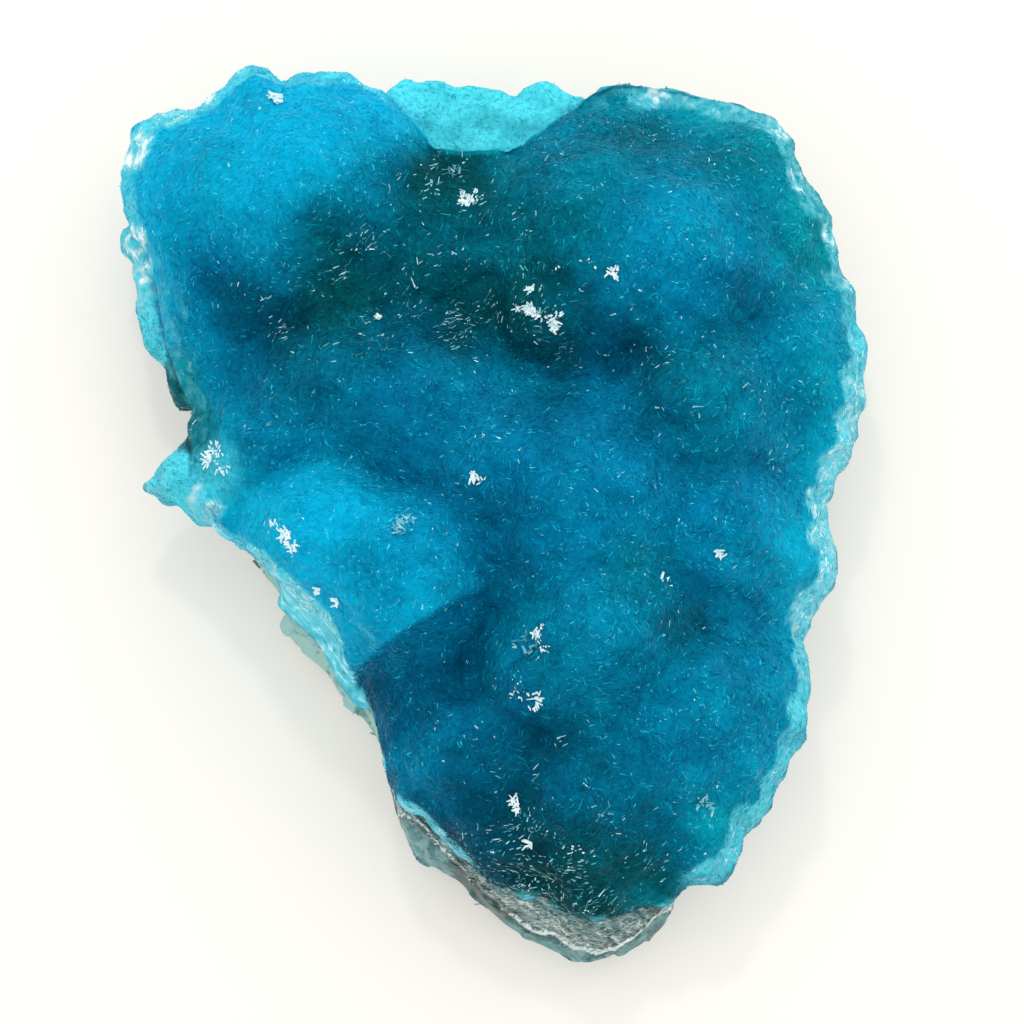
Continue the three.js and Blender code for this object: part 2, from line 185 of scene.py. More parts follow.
# %% [markdown]
# ## The mamillae
# Each rounded lump of the crust is one cap: highest at its summit, and falling with the square of the
# distance. The surface is the soft maximum of all the caps, so that neighbours meet in a crease, not in
# a knife cut. A few are flat-topped, and fall faster at their edge. Each mamilla also says how bright
# and how green it is, because on the stone the colour goes with the lumps: where the crust is thick it
# glows blue, and where it is thin the dark rock shows through as a bottle green. The brightness is partly
# the crust's own colour and partly painted light, the glow of light scattered inside the lumps.

# %% The mamillae: pixel of the summit, height, radius, power of the fall, glow and green
MAMILLAE = np.array([
    (300, 165, 18.2, 6.2, 2, 0.90, 0.00), (212, 188, 15.8, 5.0, 2, 0.84, 0.05),
    (228, 265, 14.6, 4.6, 2, 0.52, 0.00), (215, 335, 12.4, 4.2, 2, 0.52, 0.20),
    (430, 225, 13.8, 6.0, 2, 0.20, 0.80), (352, 292, 13.4, 4.5, 2, 0.16, 0.80),
    (585, 205, 17.6, 5.2, 2, 0.54, 0.50), (672, 250, 18.4, 5.6, 2, 0.66, 0.10),
    (765, 185, 14.8, 5.2, 2, 0.52, 0.90), (805, 345, 15.2, 5.0, 2, 0.62, 0.40),
    (702, 395, 18.2, 4.4, 2, 0.54, 0.30), (825, 430, 12.8, 4.4, 2, 0.64, 0.45),
    (340, 375, 16.2, 4.8, 2, 0.52, 0.20), (432, 398, 17.0, 4.8, 2, 0.52, 0.05),
    (268, 428, 14.4, 3.8, 2, 0.57, 0.25), (332, 532, 17.0, 4.6, 2.5, 0.90, 0.05),
    (405, 562, 17.8, 5.0, 3, 0.68, 0.00), (582, 490, 19.4, 5.8, 2, 0.54, 0.00),
    (505, 452, 18.2, 4.6, 2, 0.48, 0.00), (715, 512, 17.8, 4.2, 2, 0.60, 0.05),
    (792, 535, 13.8, 4.2, 2, 0.62, 0.25), (600, 612, 19.0, 4.5, 2, 0.61, 0.30),
    (540, 662, 16.8, 3.2, 2, 0.50, 0.25), (690, 700, 17.0, 5.2, 2, 0.56, 0.20),
    (770, 700, 13.2, 4.4, 2, 0.60, 0.40), (480, 750, 14.6, 5.4, 2, 0.31, 0.05),
    (592, 780, 15.6, 4.8, 2, 0.38, 0.25), (705, 800, 13.6, 4.8, 2, 0.54, 0.35),
    (612, 868, 11.6, 4.8, 2, 0.16, 0.90), (425, 690, 13.2, 3.8, 2, 0.24, 0.00),
    (560, 300, 15.0, 4.0, 2, 0.24, 0.60), (205, 440, 10.8, 3.0, 2, 0.45, 0.50),
])
LOBE_FALL = 2.8
LOBE_BLEND = 1.15
CRUST_FLOOR = 8.5
summits = from_photo(MAMILLAE[:, :3])


def caps(x, y):
    """Height of every mamilla's cap over each place: summit - fall * (distance / radius) ^ power."""
    away = np.hypot(x - summits[:, :1], y - summits[:, 1:2]) / MAMILLAE[:, 3:4]
    return summits[:, 2:] - LOBE_FALL * away ** MAMILLAE[:, 4:5]


def crust_top(x, y):
    """Height of the crust's top: the soft maximum of the caps and of a low floor."""
    heights = np.vstack([caps(x.ravel(), y.ravel()), np.full(x.size, CRUST_FLOOR)])
    highest = heights.max(0)
    over = np.log(np.exp(LOBE_BLEND * (heights - highest)).sum(0)) / LOBE_BLEND
    return (highest + over).reshape(x.shape)


print(f"{len(MAMILLAE)} mamillae, the highest {summits[:, 2].max():.1f} mm up")

# %% [markdown]
# ## One closed lump over an outline
# A body like this could be sculpted, or grown from metaballs, but then its outline would drift from the
# photograph. Here it is a function of two parameters instead. A square grid is spread over the outline
# through a disc, which keeps its cells nearly square. Its height rises from the rim to the mamillae as a
# superellipse, so the edge rolls over. A second sheet tucks in below the rim and closes the underside.

# %% The lump function
CROWDING = 1.3
BASE_RINGS = np.array([0.92, 0.8, 0.6, 0.3])


def rise_from_rim(share, power):
    """0 on the rim to 1 over the heart, as a superellipse: (1 - share ^ power) ^ (1 / power)."""
    return np.maximum(0, 1 - np.minimum(share, 1) ** power) ** (1 / power)


def lump(rim, top, bottom, power, tuck, cells, rings):
    """Points and faces of a closed lump: an upper square sheet and lower rings that share the rim."""
    line = np.linspace(-1, 1, cells + 1)
    a, b = np.meshgrid(line, line, indexing="ij")
    disc_x, disc_y = a * np.sqrt(1 - b * b / 2), b * np.sqrt(1 - a * a / 2)
    angle = np.arctan2(disc_y, disc_x)
    share = 1 - np.maximum(0, 1 - np.hypot(disc_x, disc_y)) ** CROWDING
    edge = rim.towards(angle)
    sheet = rim.middle + (edge - rim.middle) * share[..., None]
    lift = rise_from_rim(share, power(edge))
    sheet[..., 2] = edge[..., 2] + (top(sheet[..., 0], sheet[..., 1]) - edge[..., 2]) * lift
    number = np.arange((cells + 1) ** 2).reshape(cells + 1, cells + 1)
    round_rim = np.concatenate([number[-1, :-1], number[:0:-1, -1], number[0, :0:-1], number[:-1, 0]])
    upper = np.stack([number[:-1, :-1], number[1:, :-1], number[1:, 1:], number[:-1, 1:]], -1)
    start = sheet.reshape(-1, 3)[round_rim]
    pull = tuck(start)
    fold = np.linspace(0, math.pi / 2, rings + 1)[1:, None]
    inner = 1 - pull * (1 - np.cos(fold))
    inward = np.concatenate([inner, (1 - pull) * BASE_RINGS[:, None]])
    sink = np.concatenate([np.sin(fold), np.ones((len(BASE_RINGS), 1))])
    below = rim.middle + (start - rim.middle) * inward[..., None]
    below[..., 2] = start[:, 2] + (bottom - start[:, 2]) * sink
    first = number.size
    ring_number = np.vstack([round_rim, first + np.arange(below[..., 0].size).reshape(inward.shape)])
    following = np.roll(ring_number, -1, 1)
    sides = np.stack([ring_number[:-1], ring_number[1:], following[1:], following[:-1]], -1)
    heart = first + below[..., 0].size
    fan = np.stack([ring_number[-1], np.full_like(ring_number[-1], heart), following[-1]], -1)
    centre = np.array([[rim.middle[0], rim.middle[1], bottom]])
    points = np.concatenate([sheet.reshape(-1, 3), below.reshape(-1, 3), centre])
    return points, [upper.reshape(-1, 4), sides.reshape(-1, 4), fan]


def always(value):
    """A function that gives the same value at every point of a rim."""
    return lambda edge: np.full(edge.shape[:-1], value)


# %% From arrays to a Blender mesh
def make_piece(name, points, groups, smooth=True):
    """A mesh object from points in mm and arrays of polygons, one array for each number of corners."""
    mesh = bpy.data.meshes.new(name)
    corners = np.concatenate([group.ravel() for group in groups]).astype(np.int32)
    sizes = np.concatenate([np.full(len(group), group.shape[1]) for group in groups])
    mesh.vertices.add(len(points))
    mesh.vertices.foreach_set("co", (points * MM).ravel())
    mesh.loops.add(len(corners))
    mesh.loops.foreach_set("vertex_index", corners)
    mesh.polygons.add(len(sizes))
    starts = np.concatenate([[0], np.cumsum(sizes)[:-1]]).astype(np.int32)
    mesh.polygons.foreach_set("loop_start", starts)
    mesh.polygons.foreach_set("use_smooth", np.full(len(sizes), smooth))
    mesh.update(calc_edges=True)
    mesh.validate()
    piece = bpy.data.objects.new(name, mesh)
    bpy.context.collection.objects.link(piece)
    return piece


def read_points(mesh):
    """A mesh's vertices in mm."""
    points = np.empty(3 * len(mesh.vertices))
    mesh.vertices.foreach_get("co", points)
    return points.reshape(-1, 3) / MM


def read_normals(mesh):
    """The directions in which a mesh's vertices face."""
    normals = np.empty(3 * len(mesh.vertices))
    mesh.vertices.foreach_get("normal", normals)
    return normals.reshape(-1, 3)


# %% [markdown]
# ## The body of the crust
# The main body rolls over at its rim, but along the lower left it is broken: there the rim is sharp and
# the side drops straight down. Three lower shelves grew out of it: the pale ledge behind the notch, the
# lobe under the left edge and the wedge tip. They are joined into one closed skin with a boolean union,
# because four skins that only pass through each other would leave hidden walls in the mesh.

# %% Where the crust is broken
BREAK = from_photo([(180, 505, slab_top), (560, 925, slab_top)])
FLARE = from_photo([(296, 594, 10), (358, 678, 9)])
BREAK_REACH = (1.5, 5)
FLARE_REACH = (0.5, 2.5)
PLAIN_POWER = 3
BREAK_POWER = 6.5
PLAIN_TUCK = 0.13
HIGH_TUCK = 0.02
BREAK_TUCK = 0.07
BREAK_FLARE = 0.05
HIGH_RIM = (7.8, 8.8)


def smooth_step(value, low, high):
    """0 below low, 1 above high, and a smooth S between; low may be the larger of the two."""
    t = np.clip((value - low) / (high - low), 0, 1)
    return t * t * (3 - 2 * t)


def along_line(points, line, near, far):
    """1 on the line between two places, falling to 0 between the near and the far distance from it."""
    along = line[1, :2] - line[0, :2]
    reach = np.linalg.norm(along)
    along = along / reach
    away = points[..., :2] - line[0, :2]
    inward = np.abs(away[..., 0] * along[1] - away[..., 1] * along[0])
    forward = away @ along
    beyond = np.maximum(0, np.maximum(-forward, forward - reach))
    return smooth_step(np.hypot(inward, beyond), far, near)


def broken(points):
    """1 along the broken lower left edge, falling to 0 five millimetres from it."""
    return along_line(points, BREAK, *BREAK_REACH)


def body_power(edge):
    """How square the rolled edge is: 3 round the rim, 6.5 at the break."""
    return PLAIN_POWER + (BREAK_POWER - PLAIN_POWER) * broken(edge)


def body_tuck(edge):
    """How far the rim draws in below: less where it is high. Where the pale facet shows, it flares out."""
    high = smooth_step(edge[..., 2], *HIGH_RIM)
    plain = PLAIN_TUCK - (PLAIN_TUCK - HIGH_TUCK) * np.maximum(broken(edge), high)
    drawn_in = plain + (BREAK_TUCK - HIGH_TUCK) * broken(edge) * high
    return drawn_in - (BREAK_FLARE + drawn_in) * along_line(edge, FLARE, *FLARE_REACH)


# %% The four lumps and their union
SHELF_LIFT = 0.35
SHELF_POWER = 3.2
SHELF_TUCK = 0.2
SHELF_RINGS = 5
LEDGE_TOP = 9.6
LOBE_TOP = 8.6
TIP_TOP = 10
TIP_SLOPE = 0.16


def shelf(name, outline, heart, top, cells):
    """A low shelf that grew out of the body."""
    rim = Rim(outline, heart)
    points, groups = lump(
        rim, top, slab_top + SHELF_LIFT, always(SHELF_POWER), always(SHELF_TUCK), cells, SHELF_RINGS,
    )
    return make_piece(name, points, groups)


body = make_piece("hemimorphite_body", *lump(
    crust_rim, crust_top, slab_top, body_power, body_tuck, cells=250, rings=7,
))
tip_middle = from_photo([(*TIP_HEART, slab_top)])[0, 0]
shelves = [
    shelf("ledge", LEDGE_RIM, LEDGE_HEART, lambda x, y: LEDGE_TOP + 0.35 * np.sin(x / 1.6), 60),
    shelf("left_lobe", LEFT_LOBE_RIM, LEFT_LOBE_HEART, lambda x, y: np.full(x.shape, LOBE_TOP), 44),
    shelf("tip", TIP_RIM, TIP_HEART, lambda x, y: TIP_TOP + TIP_SLOPE * (x - tip_middle), 44),
]
for other in shelves:
    union = body.modifiers.new("union", "BOOLEAN")
    union.operation = "UNION"
    union.solver = "MANIFOLD"
    union.object = other
seen = body.evaluated_get(bpy.context.evaluated_depsgraph_get())
joined = bpy.data.meshes.new_from_object(seen)
body.modifiers.clear()
body.data = joined
for other in shelves:
    bpy.data.objects.remove(other)
print(f"the crust has {len(joined.polygons)} faces")

# %% [markdown]
# ## Relief
# A mamilla on the stone is not a smooth ball: it carries smaller swellings and dimples. Two sizes of
# smooth noise, a sum of sine waves in random directions, move each vertex along the way it faces. The
# rim gets a share of its own, which makes the outline as ragged as a grown edge is, and draws it in a
# little so that it stays on the photograph's. One step, where a later layer ends, runs across the crust.

# %% Noise and relief
def waves(points, size, seed, count=24):
    """Smooth noise of about -1 to 1: the sum of sine waves with random directions and phases."""
    chance = np.random.default_rng(seed)
    ways = chance.normal(size=(count, 3))
    ways /= np.linalg.norm(ways, axis=1)[:, None]
    ways *= FULL_TURN / (size * chance.uniform(0.7, 1.5, count))[:, None]
    return np.sin(points @ ways.T + chance.uniform(0, FULL_TURN, count)).sum(1) / math.sqrt(count)


TERRACE = from_photo([(460, 600, 15), (362, 664, 12)])
TERRACE_REACH = (0.4, 3.4)
SWELLING = 0.16
DIMPLE = 0.07
RIM_WAVE = 0.10
RIM_DRAWN_IN = 0.14
STEP_HEIGHT = 0.4


def terrace(points):
    """How far each point lies to the upper left of the step in the crust, and how near its line it is."""
    along = TERRACE[1, :2] - TERRACE[0, :2]
    along /= np.linalg.norm(along)
    away = points[:, :2] - TERRACE[0, :2]
    above = away[:, 0] * along[1] - away[:, 1] * along[0]
    return above, along_line(points, TERRACE, *TERRACE_REACH)


def rim_distance(points):
    """How far inside the crust's outline each point lies, in mm; below 0 outside it."""
    share, _, reach = crust_rim.share(points[:, 0], points[:, 1])
    return (1 - share) * reach


points = read_points(joined)
facing = read_normals(joined)
near_rim = smooth_step(rim_distance(points), 2.5, 0.5)
above_step, step_share = terrace(points)
relief = SWELLING * waves(points, 3.0, 1) + DIMPLE * waves(points, 1.1, 2) * (1 - near_rim)
relief += (RIM_WAVE * waves(points, 1.5, 3) - RIM_DRAWN_IN) * near_rim
relief += STEP_HEIGHT * step_share * (smooth_step(above_step, -0.12, 0.12) - 0.5)
resting = smooth_step(points[:, 2], slab_top, slab_top + 0.6)
points = points + facing * (relief * resting)[:, None]
joined.vertices.foreach_set("co", (points * MM).ravel())
joined.update()

# %% [markdown]
# ## Fields that say how the crust looks
# The materials need to know where the stone is bright, green, pale or frosted. A painted image would
# do, but it would only fit one unwrapping. Fields worked out from the place itself fit the body and all
# its blades alike. The mamillae that are near give the glow and the green, and creases are darker with
# painted shade. A list of bell curves brightens or darkens places that a mamilla doesn't explain: partly
# the crust's own colour zones, partly painted shade in its hollows. The step in the crust gets painted
# light above it and painted shade below it, and the crust's side below its rim and the outermost edge of
# the grown rim get painted shade. The thin edge of the crust is pale with painted light that comes
# through it, and its high crest is brighter with the same. Weathered patches and the edge of the break
# are frosted, and the blades' white glints are painted into the same frost value.

# %% Bright and dark places, partly the crust's own colour zones and partly painted shade in hollows and creases: pixel, radius in pixels, and the change of glow and of green
COLOUR_ZONES_AND_PAINTED_SHADE = [
    (560, 372, 34, -0.14, 0.10), (640, 345, 40, -0.43, 0.10), (685, 618, 36, -0.30, 0.10),
    (500, 540, 46, -0.18, 0.00), (470, 605, 40, -0.10, 0.00), (256, 296, 44, -0.20, 0.20),
    (410, 470, 40, -0.06, 0.00), (635, 565, 36, -0.04, 0.50), (700, 470, 46, -0.14, 0.10),
    (475, 800, 60, -0.10, 0.15), (560, 740, 50, -0.06, 0.10), (195, 405, 20, -0.25, 0.80),
    (400, 196, 50, -0.24, 0.50), (470, 172, 46, -0.08, 0.40), (335, 262, 52, -0.24, 0.55),
    (530, 250, 60, -0.14, 0.40), (612, 868, 60, -0.14, 0.60), (530, 850, 50, -0.26, 0.50),
    (345, 525, 50, 0.12, 0.00), (300, 165, 60, 0.08, 0.00), (792, 540, 30, 0.34, 0.00),
    (835, 440, 34, 0.22, 0.00), (703, 800, 26, 0.24, 0.45), (480, 330, 60, -0.12, 0.45),
    (700, 385, 40, -0.02, 0.35), (810, 250, 50, -0.04, 0.40), (222, 498, 40, 0.42, 0.15),
    (340, 380, 40, -0.10, 0.00), (330, 330, 50, -0.10, 0.50), (690, 655, 40, 0.08, 0.10),
    (228, 265, 40, -0.08, 0.00), (585, 200, 44, 0.06, 0.15), (430, 225, 50, 0.10, 0.00),
    (740, 300, 36, -0.33, 0.05), (640, 420, 34, -0.18, 0.00), (560, 418, 32, -0.14, 0.00),
    (330, 232, 36, -0.43, 0.15), (450, 330, 30, -0.27, 0.10), (395, 342, 30, -0.14, 0.20),
    (296, 325, 34, -0.20, -0.10), (260, 338, 30, -0.12, -0.10), (385, 172, 30, -0.14, 0.00),
    (430, 168, 28, -0.24, 0.30), (640, 120, 40, -0.23, 0.40), (640, 660, 32, -0.13, 0.00),
    (480, 260, 36, 0.22, -0.20), (520, 385, 32, 0.15, 0.15), (420, 742, 36, 0.26, 0.15),
    (642, 882, 26, 0.30, 0.00), (540, 722, 28, -0.12, 0.00), (700, 160, 36, -0.08, 0.30),
    (228, 265, 28, -0.09, 0.00), (205, 440, 22, -0.08, 0.00), (850, 350, 24, -0.06, 0.00),
    (380, 640, 30, -0.06, 0.00), (520, 220, 36, -0.06, 0.00), (380, 470, 30, -0.10, 0.00),
    (283, 572, 26, 0.24, 0.00), (430, 225, 30, 0.06, -0.20), (612, 868, 30, 0.05, 0.00),
    (400, 250, 34, -0.12, 0.05), (470, 520, 34, 0.06, 0.00), (715, 858, 28, -0.14, 0.00),
    (642, 882, 20, 0.14, 0.10), (540, 662, 26, -0.06, 0.10),
]

# %% Weathered patches on the rim: pixel, radius in pixels and frost
FROST_PATCHES = [
    (135, 155, 21, 0.88), (178, 116, 22, 0.45), (207, 101, 9, 0.70), (132, 246, 16, 0.78),
    (141, 274, 13, 0.65), (232, 72, 12, 0.35), (145, 300, 14, 0.30), (217, 513, 11, 0.50),
    (655, 94, 12, 0.60), (779, 134, 13, 0.42), (794, 192, 11, 0.34), (830, 238, 12, 0.42),
    (848, 288, 9, 0.30),
]


def bell(x, y, across, down, radius, height, power):
    """1 at a pixel at some height, falling with distance as exp(-(distance / radius) ^ power)."""
    middle = from_photo([(across, down, height)])[0]
    return np.exp(-((np.hypot(x - middle[0], y - middle[1]) / (radius * mm_per_pixel)) ** power))


# %% Lines that carry a look of their own: two pixels with heights, and the mm over which it fades
LINES = {
    "saddle": ((176, 378, 9), (196, 434, 9), 1.0, 1.9),
    "bare edge": ((205, 500, 9), (335, 640, 9), 0.9, 1.4),
    "bare edge glow": ((205, 500, 9), (335, 640, 9), 1.0, 3.2),
    "behind lobe": ((140, 250, 9), (178, 380, 9), 1.4, 2.4),
    "fringe": ((412, 812, 7), (464, 856, 6.4), 1.0, 1.8),
    "weathered": ((470, 850, 7), (605, 903, 6.4), 0.6, 1.8),
    "thick rim": ((838, 450, 7), (812, 590, 7), 3.5, 7.0),
    "dull rim": ((690, 95, 9), (835, 262, 9), 3.6, 6.0),
    "tip glow": ((198, 490, 9), (212, 478, 9), 0.6, 2.8),
}
TIP_MIDDLE = from_photo([(190, 480, 8)])[0, :2]
TIP_REACH = (4.2, 3.2)
TIP_POINT_X = (-20.8, -23.2)
BARE_X = (-1.5, -4.0)


def by_line(points, name):
    """1 on the named line, fading to 0 beyond its reach."""
    start, end, near, far = LINES[name]
    return along_line(points, from_photo([start, end]), near, far)


def tip_share(points):
    """1 on the wedge tip, 0 on the rest of the crust."""
    return smooth_step(np.hypot(*(points[:, :2] - TIP_MIDDLE).T), *TIP_REACH)


def face_at(points):
    """1 on the bare broken side of the crust, 0 on its grown skin."""
    ragged = rim_distance(points) + 0.1 * waves(points, 1.3, 17)
    bare = smooth_step(points[:, 0], *BARE_X) * (1 - tip_share(points))
    return broken(points) * smooth_step(ragged, 0.25, 0.0) * bare


# %% The rim's bands: where each is none and where it is full, in mm inside the rim
PALE_BAND = (1.6, 1.1)
PALE_START = (0.0, 0.2)
GLOW_BAND = (5.0, 1.5)
LEFT_GLOW_BAND = (4.0, 1.0)
RIM_EDGE_SHADE = (0.14, 0.0)
CREST_BAND = (0.4, 0.1)
SADDLE_EDGE = (0.3, 0.0)
SHELF_BAND = (0.1, -0.3)
PATCH_BAND = (2.4, 1.7)
BARE_EDGE_BAND = (0.6, 0.3)
FRINGE_BAND = (0.38, 0.18)

# Where other shares are none and full: rim heights, depth below the rim, patch strength, and x or y in mm
GROWN_HEIGHT = (10.5, 9)
CREST_HEIGHT = (10.5, 11.5)
UNDERCUT = (0.5, 2.2)
PATCH_EDGE = (0.12, 0.3)
CORNER_X = (12, 14)
CORNER_Y = (-23.5, -20.5)
LEFT_X = (-20, -23)
RIGHT_X = (0, 8)


def rim_fields(points, patch):
    """How far inside the rim each point lies, and shares from 0 to 1 for the rim's parts and looks."""
    x, y, z = points.T
    inside = rim_distance(points)
    height = crust_rim.share(x, y)[1][:, 2]
    above_corner = np.maximum(smooth_step(y, *CORNER_Y), smooth_step(x, *CORNER_X))
    grown = smooth_step(height, *GROWN_HEIGHT) * (1 - broken(points)) * above_corner
    thick = by_line(points, "thick rim")
    ragged = inside + 0.45 * waves(points, 3.0, 12) + 0.12 * waves(points, 0.7, 16)
    band = smooth_step(ragged - 0.35 * thick, *PALE_BAND) * grown
    shelf_share = smooth_step(inside, *SHELF_BAND) * (1 - face_at(points))
    on_patch = smooth_step(patch, *PATCH_EDGE) * smooth_step(inside, *PATCH_BAND)
    bare_edge = by_line(points, "bare edge") * smooth_step(inside, *BARE_EDGE_BAND) * broken(points)
    fringe = by_line(points, "fringe") * smooth_step(inside, *FRINGE_BAND)
    return SimpleNamespace(
        inside=inside, grown=grown, thick=thick, band=band, shelf=shelf_share,
        crest=smooth_step(inside, *CREST_BAND) * smooth_step(height, *CREST_HEIGHT),
        under=smooth_step(height - z, *UNDERCUT),
        dull=by_line(points, "dull rim"),
        saddle=by_line(points, "saddle"),
        point=tip_share(points) * smooth_step(x, *TIP_POINT_X),
        frosting=np.maximum(np.maximum(band, shelf_share), on_patch),
        ribbon=np.maximum(bare_edge, fringe),
    )


# %% Tone: glow, green, pale and frost at a place
CAP_BLEND = 0.65


def glow_and_green(points, rim):
    """The near mamillae's glow and green, changed by the sum of strength times share over all effects,
    painted light and shade among them.
    """
    x, y = points[:, 0], points[:, 1]
    heights = caps(x, y)
    weight = np.exp(CAP_BLEND * (heights - heights.max(0)))
    weight /= weight.sum(0)
    glow = (weight * MAMILLAE[:, 5:6]).sum(0)
    green = (weight * MAMILLAE[:, 6:7]).sum(0)
    for across, down, radius, more_glow, more_green in COLOUR_ZONES_AND_PAINTED_SHADE:
        share = bell(x, y, across, down, radius, 15, 2)
        glow += more_glow * share
        green += more_green * share
    above, on_step = terrace(points)
    left = smooth_step(x, *LEFT_X)
    changes = [
        # painted shade in the creases, where no one mamilla leads
        (-0.06, 1 - smooth_step(weight.max(0), 0.3, 0.8)),
        (0.05, waves(points, 4.5, 10)),
        (0.03, waves(points, 1.6, 11)),
        # painted light above the step and painted shade below it
        (0.30, on_step * (smooth_step(above, -0.2, 0.2) - 0.5)),
        # painted light that comes through the thin grown rim, more on the left
        (0.16, rim.grown * smooth_step(rim.inside, *GLOW_BAND)),
        (0.10, rim.grown * left * smooth_step(rim.inside, *LEFT_GLOW_BAND)),
        # painted shade on the outermost edge of the grown rim, where it turns down
        (-0.30, rim.grown * smooth_step(rim.inside, *RIM_EDGE_SHADE)),
        # painted shade on the crust's side below its rim
        (-0.12, rim.grown * rim.under),
        # painted light along the thin high crest
        (0.40, rim.crest),
        (-0.30, rim.saddle * smooth_step(rim.inside, *SADDLE_EDGE)),
        (-0.10, rim.point),
        (0.14, by_line(points, "bare edge glow")),
    ]
    glow += sum(strength * share for strength, share in changes)
    # green: slow waves, more along the crest's painted light, and the saddle's own bottle green
    green += 0.08 * waves(points, 5.0, 15) + 0.6 * rim.crest + rim.saddle
    return glow, green


def pale_at(points, rim, patch):
    """The pale band along the grown rim, painted light that comes through it, less in four places; and the
    shelves, patches and bare edge.
    """
    pale = rim.band * (0.68 + 0.06 * rim.thick + 0.22 * waves(points, 3.0, 13))
    pale *= smooth_step(rim.inside, *PALE_START)
    for less, share in ((0.75, rim.under), (0.75, by_line(points, "behind lobe")), (0.45, rim.dull)):
        pale *= 1 - less * share
    pale = np.maximum(pale, rim.shelf * (0.85 + 0.15 * waves(points, 2.5, 17)))
    pale = np.maximum(pale, 0.7 * by_line(points, "tip glow"))
    pale *= 1 - 0.9 * rim.saddle
    pale = np.maximum(pale, rim.frosting * smooth_step(patch, 0.1, 0.3) * (1 - 0.5 * rim.dull))
    return np.maximum(pale, 0.9 * rim.ribbon)


def frost_at(points, rim, patch):
    """A thin mottled frost on the pale band, more on patches and the tip, and on the bare edge."""
    right = smooth_step(points[:, 0], *RIGHT_X)
    mottle = waves(points, 0.9, 14)
    fine_mottle = waves(points, 0.4, 19)
    frost = rim.band * (0.08 + 0.08 * right + 0.2 * rim.thick + 0.12 * (mottle + fine_mottle * right))
    frost *= 1 - rim.under
    frost += rim.frosting * patch * (0.75 + 0.45 * mottle) * (1 - 0.8 * rim.under * (1 - rim.shelf))
    frost += rim.point * (0.30 + 0.2 * mottle)
    return np.maximum(frost, rim.ribbon * (0.34 + 0.2 * waves(points, 1.2, 18)))


def tone_at(points):
    """Columns of glow, green, pale and frost, each from 0 to 1, for points in mm."""
    x, y = points[:, 0], points[:, 1]
    patch = sum(frost * bell(x, y, *place, 8, 4) for *place, frost in FROST_PATCHES)
    rim = rim_fields(points, patch)
    glow, green = glow_and_green(points, rim)
    tone = [glow, green, pale_at(points, rim, patch), frost_at(points, rim, patch)]
    return np.clip(np.stack(tone, 1), 0, 1)


def add_values(mesh, **values):
    """Puts named numbers into a mesh, one for each vertex."""
    for name, numbers in values.items():
        mesh.attributes.new(name, "FLOAT", "POINT").data.foreach_set("value", numbers)


def give_tone(mesh, tone, tip, face):
    """Puts the tone into the mesh, with how near each vertex is to a blade's end or the broken side."""
    colours = mesh.attributes.new("tone", "FLOAT_VECTOR", "POINT")
    colours.data.foreach_set("vector", tone[:, :3].ravel())
    add_values(mesh, frost=tone[:, 3], tip=tip, face=face)


tone = tone_at(points)
give_tone(joined, tone, np.zeros(len(points)), face_at(points))
print("glow from", tone[:, 0].min().round(2), "to", tone[:, 0].max().round(2))

# %% [markdown]
# ## The druse
# Each blade of the druse is a flat tapering prism, half sunk in the crust and lying at a low angle. Hair
# or instances would be the quick way, but they are lost when the model leaves Blender, so the blades
# are real mesh: one small template, placed eighty thousand times with array arithmetic. Their
# headings follow a slowly turning field, which gives the stone its combed, swirling look.

# %% Places for the blades
DRUSE_SEED = 7
BLADES = 80000
PIECES = 5
STEEPEST = -0.35
SLAB_GAP = 0.4
SHELF_DENSITY = 0.7
BLADE_END = (0.4, 0.5)


def read_triangles(mesh):
    """The corners of a mesh's triangles in mm, their cross products, and twice their areas."""
    mesh.calc_loop_triangles()
    corners = np.empty(3 * len(mesh.loop_triangles), np.int32)
    mesh.loop_triangles.foreach_get("vertices", corners)
    triangle = read_points(mesh)[corners.reshape(-1, 3)]
    cross = np.cross(triangle[:, 1] - triangle[:, 0], triangle[:, 2] - triangle[:, 0])
    return triangle, cross, np.linalg.norm(cross, axis=1)


def surface_places(mesh, count, chance):
    """Random places spread evenly over the grown skin, with the way its faces look there."""
    triangle, cross, size = read_triangles(mesh)
    upward = cross[:, 2] > STEEPEST * size
    above = triangle[:, :, 2].min(1) > slab_top + SLAB_GAP
    middle = triangle.mean(1)
    grown = face_at(middle) < 0.4
    on_shelf = rim_distance(middle) < -0.2
    weight = size * upward * above * grown * np.where(on_shelf, SHELF_DENSITY, 1)
    chosen = chance.choice(len(size), count, p=weight / weight.sum())
    u, v = chance.random((2, count))
    flip = u + v > 1
    u, v = np.where(flip, 1 - u, u)[:, None], np.where(flip, 1 - v, v)[:, None]
    a, b, c = triangle[chosen].transpose(1, 0, 2)
    return a + (b - a) * u + (c - a) * v, cross[chosen] / size[chosen, None]


